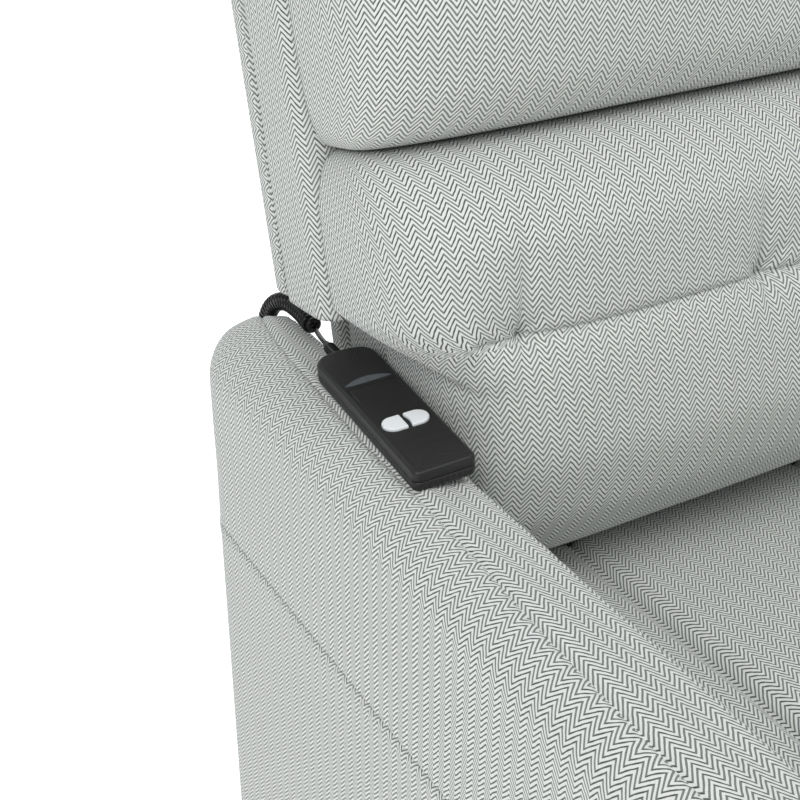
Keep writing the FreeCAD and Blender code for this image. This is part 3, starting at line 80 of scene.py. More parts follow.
world = bpy.data.worlds.new("room")
bpy.context.scene.world = world
world.use_nodes = True
tree = world.node_tree
tree.nodes.clear()
path = node(tree, "LightPath")
seen = node(tree, "Math", {0: path["Is Camera Ray"], 1: path["Is Transmission Ray"]}, operation="MAXIMUM")[0]
soft = node(tree, "Background", {"Color": linear("#f2f5f8"), "Strength": 0.58})[0]
white = node(tree, "Background", {"Color": (1, 1, 1, 1), "Strength": 1.0})[0]
sky = node(tree, "MixShader", {0: seen, 1: soft, 2: white})[0]
node(tree, "OutputWorld", {"Surface": sky})


def lamp(name, place, aim, wide, watts):
    """A square soft white lamp at a place, turned to a point."""
    light = bpy.data.lights.new(name, "AREA")
    light.size = wide
    light.energy = watts
    made = bpy.data.objects.new(name, light)
    bpy.context.collection.objects.link(made)
    made.location = place
    made.rotation_euler = (Vector(aim) - Vector(place)).to_track_quat("-Z", "Y").to_euler()


lamp("key", (-1.75, -1.25, 3.0), (0, 0.1, 0.6), 1.6, 46)
lamp("fill", (0.7, -1.1, 3.6), (0, 0.1, 0.6), 2.0, 26)
lamp("rear", (0.6, 2.6, 2.4), (0, 0.2, 0.7), 2.0, 22)

# The upholstery cloth, a herringbone weave of pale and grey yarn, on every padded piece. Each piece carries a
# map called weave, in mm along the zigzag and across it.


def finish_material(name, build):
    """A material whose node tree is filled by build, which gives back the surface's shader."""
    made = bpy.data.materials.new(name)
    made.use_nodes = True
    made.node_tree.nodes.clear()
    shader = build(made.node_tree)
    node(made.node_tree, "OutputMaterial", {"Surface": shader})
    return made


def build_cloth(tree):
    """Woven upholstery cloth: zigzags 12.9 mm long and 8.7 mm high, with lines 4.3 mm apart. It is pale near
    the middle of each pitch and grey towards its ends. To the eye it is matt, with a faint sheen."""
    zigzag, rise, pitch = 12.9, 8.7, 4.3
    weave = node(tree, "UVMap", uv_map="weave")[0]
    split = node(tree, "SeparateXYZ", {0: weave})
    # the lines stray by up to 1.6 mm over about 9 mm
    wobble = node(tree, "TexNoise", {"Vector": weave, "Scale": 0.11, "Detail": 2.0})[0]
    u, v = split["X"], split["Y"]
    u = node(tree, "Math", {0: wobble, 1: 1.6, 2: u}, operation="MULTIPLY_ADD")[0]
    fold = node(tree, "Math", {0: u, 1: zigzag / 2}, operation="PINGPONG")[0]
    lines = node(tree, "Math", {0: fold, 1: 2 * rise / zigzag, 2: v}, operation="MULTIPLY_ADD")[0]
    turns = node(tree, "Math", {0: lines, 1: pitch}, operation="DIVIDE")[0]
    part = node(tree, "Math", {0: turns}, operation="FRACT")[0]
    away = node(tree, "Math", {0: part, 1: 0.5}, operation="SUBTRACT")[0]
    away = node(tree, "Math", {0: away}, operation="ABSOLUTE")[0]
    # fine yarn steps of 1.1 mm along the zigzag and 1.2 mm across it
    yarn_u = node(tree, "Math", {0: u, 1: 5.7}, operation="MULTIPLY")[0]
    yarn_u = node(tree, "Math", {0: yarn_u}, operation="SINE")[0]
    yarn_v = node(tree, "Math", {0: v, 1: 5.3}, operation="MULTIPLY")[0]
    yarn_v = node(tree, "Math", {0: yarn_v}, operation="SINE")[0]
    yarn = node(tree, "Math", {0: yarn_u, 1: yarn_v}, operation="MULTIPLY")[0]
    # one leg of each zigzag shows broad grey bands, the other thin dotted lines of single dark stitches
    leg = node(tree, "Math", {0: u, 1: zigzag}, operation="DIVIDE")[0]
    leg = node(tree, "Math", {0: leg}, operation="FRACT")[0]
    leg = node(tree, "Math", {0: leg, 1: 0.5}, operation="GREATER_THAN")[0]
    away = node(tree, "Math", {0: leg, 1: -0.045, 2: away}, operation="MULTIPLY_ADD")[0]
    dots = node(tree, "Math", {0: yarn, 1: leg}, operation="MULTIPLY")[0]
    away = node(tree, "Math", {0: dots, 1: 0.05, 2: away}, operation="MULTIPLY_ADD")[0]
    pale = node(tree, "MapRange", {"Value": away, "From Min": 0.31, "From Max": 0.24, "To Min": 0.0,
                                   "To Max": 1.0}, interpolation_type="SMOOTHSTEP")[0]
    fleck = node(tree, "TexNoise", {"Vector": weave, "Scale": 1.1, "Detail": 3.0})[0]
    grey = node(tree, "MapRange", {"Value": yarn, "From Min": -1.0, "From Max": 1.0, "To Min": 0.0,
                                   "To Max": 1.0})[0]
    band_yarn = node(tree, "Mix", {0: grey, 6: linear("#565b59"), 7: linear("#8d918e")}, data_type="RGBA")[2]
    line_yarn = node(tree, "Mix", {0: grey, 6: linear("#2b2f2d"), 7: linear("#6a6e6b")}, data_type="RGBA")[2]
    grey_yarn = node(tree, "Mix", {0: leg, 6: band_yarn, 7: line_yarn}, data_type="RGBA")[2]
    pale_yarn = node(tree, "Mix", {0: fleck, 6: linear("#c8cac6"), 7: linear("#e6e7e3")}, data_type="RGBA")[2]
    colour = node(tree, "Mix", {0: pale, 6: grey_yarn, 7: pale_yarn}, data_type="RGBA")[2]
    height = node(tree, "Math", {0: yarn, 1: 0.25, 2: pale}, operation="MULTIPLY_ADD")[0]
    bump = node(tree, "Bump", {"Height": height, "Strength": 0.35, "Distance": 0.0005})[0]
    return node(tree, "BsdfPrincipled", {"Base Color": colour, "Roughness": 0.92, "Normal": bump,
                                         "Sheen Weight": 0.15, "Sheen Roughness": 0.5,
                                         "Specular IOR Level": 0.15})[0]


cloth = finish_material("herringbone_cloth", build_cloth)

# The upper arms. A plywood panel is wrapped in wadding and cloth, one padded piece on each side. Its top
# panel is sewn between two seams, the outer one further in towards the rear, and both ends roll over.

ARM_Y = np.array([-384.0, 375.0])
ARM_FRONT_CORNER, ARM_REAR_CORNER = 22, 72.0
OUTER_SEAM_ROUTE = np.array([(-384, 322), (-90, 314), (-17, 309), (150, 303), (278, 293), (345, 287)])


def rounded(corners, steps=8, closed=True):
    """Outline through corners (a, b, radius), each rounded by an arc that meets both sides. The arc's middle
    lies on the corner's bisector, at radius / sin(half angle) from the corner."""
    corners = [(np.array(c[:2], float), c[2] if len(c) > 2 else 0) for c in corners]
    out = []
    for n, (at, radius) in enumerate(corners):
        if not closed and n in (0, len(corners) - 1) or radius == 0:
            out.append(at[None])
            continue
        before = corners[n - 1][0] - at
        after = corners[(n + 1) % len(corners)][0] - at
        before, after = before / np.linalg.norm(before), after / np.linalg.norm(after)
        half = math.acos(np.clip(before @ after, -1, 1)) / 2
        middle = at + (before + after) / np.linalg.norm(before + after) * radius / math.sin(half)
        trim = radius / math.tan(half)
        a, b = at + before * trim - middle, at + after * trim - middle
        turn = math.pi - 2 * half
        t = np.linspace(0, 1, steps + 1)[:, None]
        out.append(middle + (np.sin((1 - t) * turn) * a + np.sin(t * turn) * b) / math.sin(turn))
    return np.concatenate(out)


def lengths(line):
    """Distance run along a line of points, at each point."""
    return np.concatenate([[0], np.cumsum(np.linalg.norm(np.diff(line, axis=0), axis=1))])


def walk(line, stations):
    """Points of a line at given distances along it."""
    run = lengths(line)
    return np.stack([np.interp(stations, run, line[:, k]) for k in range(line.shape[1])], axis=-1)


def ease(t):
    """Smooth step from 0 to 1: 3 t squared less 2 t cubed."""
    t = np.clip(t, 0, 1)
    return t * t * (3 - 2 * t)


def wander(a, b, scale):
    """Slow uneven swell of soft cloth, about -1 to 1, from crossed waves of unlike lengths."""
    a, b = a / scale, b / scale
    return (np.sin(a * 1.0 + 0.7 * np.sin(b * 0.9 + 1.3)) + np.sin(b * 1.3 + 0.9 * np.sin(a * 0.8 + 0.4))
            + 0.6 * np.sin(a * 2.3 - b * 1.9 + 2.1)) / 2.6


def pushed(grid, amount, inside):
    """The grid of rings with each point moved out along the surface by amount mm, away from the point
    inside."""
    along = np.roll(grid, -1, axis=1) - np.roll(grid, 1, axis=1)
    out = np.cross(along, np.gradient(grid, axis=0))
    out /= np.maximum(np.linalg.norm(out, axis=2, keepdims=True), 1e-9)
    middle = len(grid) // 2
    side = np.sign(np.sum((grid[middle] - np.asarray(inside)) * out[middle]))
    return grid + out * side * amount[..., None]


def mesh_piece(name, points, faces, weave=None):
    """An object from points in metres, faces as rows of corner numbers, and a cloth map in mm per face
    corner."""
    data = bpy.data.meshes.new(name)
    data.from_pydata(np.asarray(points, float).tolist(), [], [list(map(int, f)) for f in faces])
    data.polygons.foreach_set("use_smooth", [True] * len(data.polygons))
    if weave is not None:
        layer = data.uv_layers.new(name="weave")
        layer.data.foreach_set("uv", np.asarray(weave, float).ravel())
    form = bmesh.new()
    form.from_mesh(data)
    bmesh.ops.recalc_face_normals(form, faces=form.faces)
    form.to_mesh(data)
    form.free()
    thing = bpy.data.objects.new(name, data)
    bpy.context.collection.objects.link(thing)
    return thing


def grid_piece(name, grid, weave=None, seams=()):
    """A closed piece from a grid of points in mm: its columns close into rings and the end rows are capped.
    weave holds one cloth map per panel, one column wider than the grid; seams are the columns where panels
    meet."""
    rows, cols = grid.shape[:2]
    i, j = np.meshgrid(np.arange(rows - 1), np.arange(cols), indexing="ij")
    i, j = i.ravel(), j.ravel()
    k = (j + 1) % cols
    ends = [np.arange(cols)[::-1], np.arange((rows - 1) * cols, rows * cols)]
    faces = np.stack([i * cols + j, i * cols + k, (i + 1) * cols + k, (i + 1) * cols + j], axis=1).tolist()
    faces += [end.tolist() for end in ends]
    points = grid.reshape(-1, 3)
    flat = None
    if weave is not None:
        weave = np.asarray(weave, float)
        weave = weave[None] if weave.ndim == 3 else weave
        panel = np.searchsorted(np.asarray(seams, int), j, side="right")
        flat = np.stack([weave[panel, i, j], weave[panel, i, j + 1], weave[panel, i + 1, j + 1],
                         weave[panel, i + 1, j]], axis=1).reshape(-1, 2)
        # a cap takes its map from the two directions in which it is widest
        across = np.ptp(grid[0], axis=0).argsort()[1:]
        flat = np.concatenate([flat] + [points[end][:, across] for end in ends])
    return mesh_piece(name, points / 1000, faces, flat)


def dress(thing, body, slot, material, *replaced):
    """Gives a piece its body and material and hides the CAD nodes that it stands for; its slot is not used.
    """
    thing.data.materials.clear()
    thing.data.materials.append(material)
    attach(thing, body)
    if replaced:
        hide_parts(*replaced)
    return thing


def drawn_by_corner(distance, radius):
    """How far a quarter circle has drawn in at a distance from the end: nothing past one radius."""
    return radius - np.sqrt(np.maximum(radius ** 2 - np.clip(radius - distance, 0, radius) ** 2, 0))


def close_at_ends(a, b, count):
    """Stations from a to b for every row, closer together near both, spaced by a cosine."""
    t = (1 - np.cos(np.linspace(0, math.pi, count, endpoint=False))) / 2
    return a[:, None] + (b - a)[:, None] * t


def arm_cover(side, sign):
    """The arm's section, from the foot of its inner face over the top to the level seam, swept from front to
    rear. Its top drops round the rolls and its outer face draws in round the plan corners. Each seam is a
    narrow groove with a low bank beside it, and puckers deepen it at even steps."""
    inner, outer, board, low, seam, high = 257, 343, 284, 399.5, 486, 648
    end_roll, inner_seam_high, pucker_pitch = 35, 640, 23
    section = rounded([(inner, low), (inner, 641, 9), (300, 649.5, 60), (outer, 641, 29),
                       (outer, seam + 0.6, 3), (board, seam + 0.6), (board, low)], closed=False)
    run = lengths(section)
    theta = np.linspace(0, math.pi / 2, 16)
    front = ARM_Y[0] + end_roll * (1 - np.cos(theta))
    rear = ARM_Y[1] - ARM_REAR_CORNER * (1 - np.cos(theta[::-1]))
    y = np.concatenate([front, np.arange(front[-1] + 3, rear[0] - 2, 3.2), rear])
    d_front, d_rear = y - ARM_Y[0], ARM_Y[1] - y

    drop = drawn_by_corner(d_front, end_roll) + drawn_by_corner(d_rear, end_roll)
    inset = drawn_by_corner(d_front, ARM_FRONT_CORNER) + drawn_by_corner(d_rear, ARM_REAR_CORNER)
    inner_seam = np.interp(inner_seam_high, section[:20, 1], run[:20])
    top = slice(np.argmax(section[:, 1] > 645), np.argmax(section[:, 0] > 341))
    seam_x = np.interp(y, OUTER_SEAM_ROUTE[:, 0], OUTER_SEAM_ROUTE[:, 1])
    outer_seam = np.interp(seam_x, section[top, 0], run[top])
    foot = run[-1] - (outer - board) - (seam - low)

    ones = np.ones(len(y))
    inner_count, top_count, side_count, under_count = 26, 44, 96, 10
    stations = np.concatenate([close_at_ends(0 * ones, inner_seam * ones, inner_count),
                               close_at_ends(inner_seam * ones, outer_seam, top_count),
                               close_at_ends(outer_seam, foot * ones, side_count),
                               close_at_ends(foot * ones, run[-1] * ones, under_count),
                               run[-1] * ones[:, None]], axis=1)
    flat = walk(section, stations)
    a, z = flat[..., 0], flat[..., 1]
    grown = 1 - drop / (high - seam)
    z = np.where(z > seam, seam + (z - seam) * grown[:, None], z)
    a = inner + (a - inner) * ((outer - inset - inner) / (outer - inner))[:, None]
    # behind the seat the inner edge comes 4 mm further in, to the side of the back
    a = a - 4 * ease((y - 212) / 45)[:, None] * np.exp((inner - a) / 15)
    grid = np.stack([sign * a, np.broadcast_to(y[:, None], a.shape), z], axis=-1)

    from_inner = np.abs(stations - inner_seam)
    from_outer = np.abs(stations - outer_seam[:, None])
    calm = ease(np.minimum(d_front, d_rear) / 20)[:, None]
    pucker = np.maximum(0, np.cos(2 * math.pi * y / pucker_pitch))[:, None] ** 6
    swell = (-1.2 * pucker * (np.exp(-(from_inner / 5) ** 2) + np.exp(-(from_outer / 5) ** 2))
             - 1.5 * np.exp(-(from_inner / 1.6) ** 2) + 0.8 * np.exp(-((from_inner - 9) / 6) ** 2)
             - 1.6 * np.exp(-(from_outer / 1.8) ** 2) + 0.7 * np.exp(-((from_outer - 8) / 6) ** 2)
             + 0.7 * wander(stations, y[:, None], 46) * ease((foot - stations) / 60) * ease(stations / 60))
    grid = pushed(grid, swell * calm, (sign * 300, y[len(y) // 2], 560))

    # the cloth's columns run along the arm on its sides and across it on its top
    top_starts = inner_count
    side_starts = inner_count + top_count
    wide = stations.shape[1]
    along_top = lengths(grid[:, top_starts + 22])
    along_side = lengths(grid[:, side_starts + 40])
    s = np.concatenate([stations, stations[:, -1:]], axis=1)
    along_top, along_side = (np.repeat(v[:, None], wide + 1, axis=1) for v in (along_top, along_side))
    weave = np.stack([np.stack([along_side + 3, s], -1), np.stack([s - inner_seam, along_top], -1),
                      np.stack([along_side, s], -1)])
    made = grid_piece(f"arm_cover_{side}", grid, weave, seams=(top_starts, side_starts))
    dress(made, "carriage", "fabric", cloth, f"arm_pad_{side}")


# The outer sides of the arms. Below the level seam each is a hollow shell of stiff board covered in cloth,
# open towards the chair and turned round the same plan corners as the arm above it.


def even(outline, spacing):
    """A closed outline again, with points at about an even spacing; its corners stay."""
    closed = np.concatenate([outline, outline[:1]])
    out = []
    for a, b in zip(closed, closed[1:]):
        count = max(1, int(round(np.linalg.norm(b - a) / spacing)))
        out.append(a + (b - a) * (np.arange(count) / count)[:, None])
    return np.concatenate(out)


def drawn_in(outline, inset):
    """An anticlockwise outline moved in by an inset, each point at right angles to the line past its
    neighbours."""
    ahead = np.roll(outline, -1, axis=0) - np.roll(outline, 1, axis=0)
    out = np.stack([ahead[:, 1], -ahead[:, 0]], axis=1)
    out /= np.linalg.norm(out, axis=1, keepdims=True)
    return outline - out * inset


def stack(name, outline, levels, place, weave=False):
    """A closed piece from one outline (mm) drawn in by each level's inset at its height; place turns (a, b,
    height) into points. The levels go from the bottom to the top."""
    grid = np.stack([place(drawn_in(outline, inset), height) for inset, height in levels])
    fabric = None
    if weave:
        around = np.concatenate([outline, outline[:1]])
        u = np.tile(lengths(around), (len(levels), 1))
        v = np.tile(lengths(np.array(levels, float))[:, None], (1, len(around)))
        fabric = np.stack([u, v], axis=-1)
    return grid_piece(name, grid, fabric)


def beside_seat(sign):
    """Gives the function that stands outline points (out from the middle, y) at a height on one side."""
    def place(points, height):
        return np.stack([sign * points[:, 0], points[:, 1], np.full(len(points), height)], axis=-1)
    return place


def arm_side(side, sign):
    """A strip between the arm's plan and a line 12 mm further in, with a tighter rear corner, lofted from the
    hem to the level seam. Its edges are eased at both ends."""
    wall, face, low, high = 283, 343, 45, 485.4
    skin, hole_front_corner, hole_rear_corner = 12, 10, 47.9
    front, rear = ARM_Y
    outer = rounded([(wall, front), (face, front, ARM_FRONT_CORNER), (face, rear, ARM_REAR_CORNER),
                     (wall, rear)], steps=14, closed=False)
    hole = rounded([(wall, front + skin), (face - skin, front + skin, hole_front_corner),
                    (face - skin, rear - skin, hole_rear_corner), (wall, rear - skin)],
                   steps=14, closed=False)
    loop = even(np.concatenate([outer, hole[::-1]]), 6)
    levels = [(1.8, low), (0.5, low + 0.6), (0, low + 2.2)]
    levels += [(0, z) for z in np.linspace(low + 20, high - 14, 24)]
    levels += [(-0.7, high - 8), (-0.4, high - 3.5), (0.6, high - 1.2), (2.2, high)]
    made = stack(f"arm_side_{side}", loop, levels, beside_seat(sign), weave=True)
    dress(made, "carriage", "fabric", cloth, f"arm_side_panel_{side}")


for side, sign in (("left", -1), ("right", 1)):
    arm_cover(side, sign)
    arm_side(side, sign)

# The seat cushion: moulded foam with a fibre top in a sewn cover, a rounded front roll and two sewn lines
# that run from front to rear and leave a broad middle channel.

SEAT_BASE, SEAT_TOP, SEAT_FRONT, SEAT_REAR = 398.6, 503, -374, 160


def seat_section(steps):
    """Outline of the cushion in (y, z), from the rear of its underside forward and over the front roll."""
    base, top, front, rear = SEAT_BASE, SEAT_TOP, SEAT_FRONT, SEAT_REAR
    line = rounded([(rear - 6, base, 4), (front + 30, base, 16), (front, base + 26, 22),
                    (front + 2, top - 30, 22), (front + 54, top - 7, 90), (-60, top + 4, 400),
                    (rear - 10, top - 8, 12), (rear, top - 36, 16)], steps=10)
    closed = np.concatenate([line, line[:1]])
    run = lengths(closed)
    return walk(closed, np.linspace(0, run[-1], steps, endpoint=False))


def build_seat_cushion():
    """The section repeated across the seat. Each point rises by its share of the height times a crown: a
    parabola across, less a channel and a groove at each sewn line, less a quarter turn down at each side."""
    half, seam, side_round, middle = 252.5, 118, 40, -112
    section = seat_section(430)
    edge = half - side_round * (1 - np.sin(np.linspace(0, math.pi / 2, 15)))
    at_seams = [s * (seam + d) for s in (-1, 1) for d in (-6, -4, -3, -2, -1, 0, 1, 2, 3, 4, 6)]
    x = np.unique(np.concatenate([np.arange(-212, 213, 4.0), at_seams, edge, -edge]))
    near = np.min(np.abs(x[:, None] - np.array([-seam, seam])), axis=1)
    side = np.sqrt(np.maximum(1 - np.clip((np.abs(x) - (half - side_round)) / side_round, 0, 1) ** 2, 0))
    y = section[None, :, 0]
    z = section[None, :, 1]
    lift = (z - SEAT_BASE) / (SEAT_TOP - SEAT_BASE)
    # the channels grow shallow and the sides fuller towards the rear
    channel = 9 * (1 - 0.75 * ease((y - 80) / 60))
    side_drop = 30 - 16 * ease((y - 60) / 60)
    crown = 3.0 * (1 - (x / half) ** 2)[:, None] - channel * np.exp(-(near / 9) ** 2)[:, None] \
        - 4.5 * np.exp(-(near / 2.2) ** 2)[:, None] - side_drop * (1 - side)[:, None]
    z = z + lift * crown
    pull = 1 - 0.05 * (1 - side)[:, None]
    y = middle + (y - middle) * pull * (1 - 0.012 * np.exp(-(near / 9) ** 2)[:, None])
    z = z + lift * 1.2 * wander(x[:, None], y, 60) * side[:, None]
    grid = np.stack([np.broadcast_to(x[:, None], z.shape), y, z], axis=-1)
    run = lengths(np.concatenate([section, section[:1]]))
    across = lengths(np.stack([x, crown[:, 0]], axis=-1))
    u = np.repeat((across - across[len(x) // 2])[:, None], len(run), axis=1)
    v = np.tile(-run, (len(x), 1))
    made = grid_piece("seat_cushion_cover", grid, np.stack([u, v], axis=-1))
    dress(made, "carriage", "fabric", cloth, "seat_cushion")


build_seat_cushion()

# The pads of the back, on a boxed frame. The lumbar pad is drawn in along one sewn row with three tufts,
# whose cloth gathers into short darts above them; a crease parts it from the head pad.

LEAN = math.radians(13)
BACK_PIVOT_Y, BACK_PIVOT_Z = 215, 400
SLIM_HALF, CORD_CLEAR = 249, 300


def leaned(points):
    """Turns points (x, depth, height) of the upright back into the chair, leaned about the back pivot."""
    x, y, z = points[..., 0], points[..., 1], points[..., 2]
    return np.stack([x, BACK_PIVOT_Y + y * math.cos(LEAN) + z * math.sin(LEAN),
                     BACK_PIVOT_Z - y * math.sin(LEAN) + z * math.cos(LEAN)], axis=-1)


def smooth_levels(stations, table):
    """Values of a table of (station, value, ...) rows along a smooth curve through its rows: cubic pieces
    whose slope at a row is the harmonic mean of the slopes beside it, or level where they differ in sign."""
    table = np.array(table, float)
    x, y = table[:, 0], table[:, 1:]
    slope = np.diff(y, axis=0) / np.diff(x)[:, None]
    both = slope[1:] + slope[:-1]
    mixed = 2 * slope[1:] * slope[:-1] / np.where(np.abs(both) < 1e-9, 1e-9, both)
    mixed = np.where(slope[1:] * slope[:-1] > 0, mixed, 0)
    tangent = np.concatenate([slope[:1], mixed, slope[-1:]])
    n = np.clip(np.searchsorted(x, stations, side="right") - 1, 0, len(x) - 2)
    h = (x[n + 1] - x[n])[:, None]
    t = ((stations - x[n])[:, None]) / h
    return ((2 * t ** 3 - 3 * t ** 2 + 1) * y[n] + (t ** 3 - 2 * t ** 2 + t) * h * tangent[n]
            + (3 * t ** 2 - 2 * t ** 3) * y[n + 1] + (t ** 3 - t ** 2) * h * tangent[n + 1])


def pad_ring(power, count):
    """Half width and depth factors of a padded section from one rear edge over the front to the other: half
    of a superellipse of that power, with its points evenly spaced on a pad 252 mm by 120 mm."""
    t = np.linspace(-math.pi / 2, math.pi / 2, 2001)
    line = np.stack([np.sign(np.sin(t)) * np.abs(np.sin(t)) ** (2 / power),
                     np.abs(np.cos(t)) ** (2 / power)], axis=-1)
    scaled = line * [252, 120]
    even_run = np.linspace(0, lengths(scaled)[-1], count)
    return np.stack([np.interp(even_run, lengths(scaled), line[:, k]) for k in (0, 1)], axis=-1)


def back_pad(levels, count, rows, folds):
    """A pad lofted up the back, with its cloth map. levels are (height, half width, depth); folds gives the
    depth that seams, tufts and darts take away at a place (x, height)."""
    rear = 68.0
    ring = pad_ring(5.0, count)
    z = np.asarray(rows, float)
    half, depth = smooth_levels(z, levels).T
    front = ring[None, :, 1]
    y = -(rear + (depth - rear)[:, None] * front)
    # within 300 mm of its pivot the pad fits between the arms, so that it swings past the arm and the cord
    slim = np.minimum(half, SLIM_HALF)[:, None]
    widened = ease((np.hypot(y, z[:, None]) - CORD_CLEAR) / 11)
    x = (slim + (half[:, None] - slim) * widened) * ring[None, :, 0]
    up = np.broadcast_to(z[:, None], x.shape)
    y = y + front * folds(x, up)
    grid = np.stack([x, y, up], axis=-1)
    middle = count // 2
    u = np.stack([lengths(row) for row in grid])
    u = u - u[:, middle:middle + 1]
    rise = lengths(grid[:, middle - count // 9])
    return grid, u, rise


LUMBAR_ROW, TUFT_X = 287.0, 203.0


def lumbar_folds(x, z):
    """Depth that the sewn row, its tufts and their darts take from the lumbar pad. The row is a groove that
    fades away above and below, a tuft a pit with seven small pleats round it, and a dart a narrow crease in a
    wide one."""
    reach = ease((247 - np.abs(x)) / 16)
    above = z - LUMBAR_ROW
    soft_row = np.where(above > 0, np.exp(-np.abs(above) / 26), np.exp(-np.abs(above) / 15))
    out = reach * (9 * soft_row + 3.5 * np.exp(-np.abs(above) / 2.5))
    for place in (-TUFT_X, 0.0, TUFT_X):
        near = np.hypot(x - place, above)
        out = out + 12 * np.exp(-near / 10) + 3 * np.exp(-(near / 3.5) ** 2)
        spread = np.arctan2(above, x - place)
        out = out + 1.4 * np.cos(7 * spread + 0.6) * np.exp(-near / 24) * ease(near / 8)
        dart = ease(above / 5) * ease((95 - above) / 60)
        out = out + 3.0 * dart * np.exp(-((x - place - 0.02 * above) / 3.2) ** 2)
        out = out + 2.5 * dart * np.exp(-((x - place) / 16) ** 2)
    puff = np.abs(np.sin(math.pi * (x / TUFT_X))) ** 0.8
    out = out - 3.2 * puff * np.exp(-np.abs(above - 12) / 40) * reach
    return out + 1.4 * wander(x, z, 55)


def finish_pad(name, grid, u, v, replaced):
    """Closes the pad across its flat rear, maps the cloth and leans the piece."""
    rear = np.linspace(1, 0, 12)[1:-1]
    back = grid[:, -1:] * rear[None, :, None] + grid[:, :1] * (1 - rear)[None, :, None]
    closed = np.concatenate([grid, back], axis=1)
    reach = u[:, -1:] + (1 - np.append(rear, 0))[None] * 2 * u[:, -1:]
    u = np.concatenate([u, reach], axis=1)
    weave = np.stack([u, np.repeat(v[:, None], u.shape[1], axis=1)], axis=-1)
    made = grid_piece(name, leaned(closed), weave)
    dress(made, "backrest", "fabric", cloth, replaced)


def build_back_pads():
    """Both pads, from their tables of (height, half width, depth). On the lumbar pad the cloth is mirrored at
    the sewn row."""
    lumbar = [(64, 229, 70), (78, 230, 74), (88, 238, 102), (100, 242, 130), (122, 247, 164),
              (160, 248, 196), (208, 249, 210), (246, 249, 208), (262, 257, 206), (276, 267, 204),
              (290, 279, 202), (304, 286, 200), (345, 287, 200), (374, 287, 190), (396, 283, 170),
              (408, 277, 150), (414, 268, 128)]
    rows = np.concatenate([np.linspace(64, 100, 18)[:-1], np.arange(100, 270, 3.2), np.arange(270, 302, 1.0),
                           np.arange(302, 390, 2.6), np.linspace(390, 414, 16)])
    grid, u, rise = back_pad(lumbar, 261, rows, lumbar_folds)
    from_row = np.abs(rise - np.interp(LUMBAR_ROW, rows, rise))
    finish_pad("back_lumbar_cover", grid, u, from_row, "back_lumbar_pad")

    head = [(415, 268, 124), (418, 275, 138), (428, 282, 156), (456, 287, 174), (505, 289, 183),
            (600, 290, 181), (640, 288, 165), (658, 284, 148), (671, 277, 122), (680, 266, 98)]
    rows = np.concatenate([np.linspace(415, 434, 14)[:-1], np.arange(434, 640, 4.0),
                           np.linspace(640, 680, 22)])
    grid, u, rise = back_pad(head, 201, rows, lambda x, z: 1.6 * wander(x, z, 70))
    finish_pad("back_head_cover", grid, u, rise + 4, "back_head_pad")


build_back_pads()

# The rear cover of the back: cloth over a thin pad on a stiff sheet, narrow between the arms and wider above
# them. A skirt of the same cloth is stapled over the frame's lower rail, which shows when the back reclines.

BACK_STEP = 302


def upright(points, height):
    """Outline points (x, up) of the back at a depth, leaned into the chair; height counts forward."""
    return leaned(np.stack([points[:, 0], np.full(len(points), -height), points[:, 1]], axis=-1))


rear_outline = rounded([(-252, 48, 10), (252, 48, 10), (252, BACK_STEP, 0), (292, BACK_STEP, 6),
                        (298, 678, 38), (-298, 678, 38), (-292, BACK_STEP, 6), (-252, BACK_STEP, 0)],
                       steps=12)
rear_levels = [(9, -20), (4.5, -19.3), (1.6, -17), (0.3, -13), (0, -8), (0, -3), (1, -0.4)]
rear_cover = stack("back_rear_cover", even(rear_outline, 6), rear_levels, upright, weave=True)
dress(rear_cover, "backrest", "fabric", cloth, "back_rear_panel")

skirt_outline = even(rounded([(-226.6, 45, 3), (226.6, 45, 3), (226.6, 74, 3), (-226.6, 74, 3)], steps=4), 6)
skirt = stack("back_frame_skirt", skirt_outline, [(0, 66.1), (0, 66.9), (0.5, 67.2)], upright, weave=True)
dress(skirt, "backrest", "fabric", cloth)

# The border round the upper back: a padded band of cloth over the frame's edge. Below its step it goes on as
# a narrow leg between the arms.


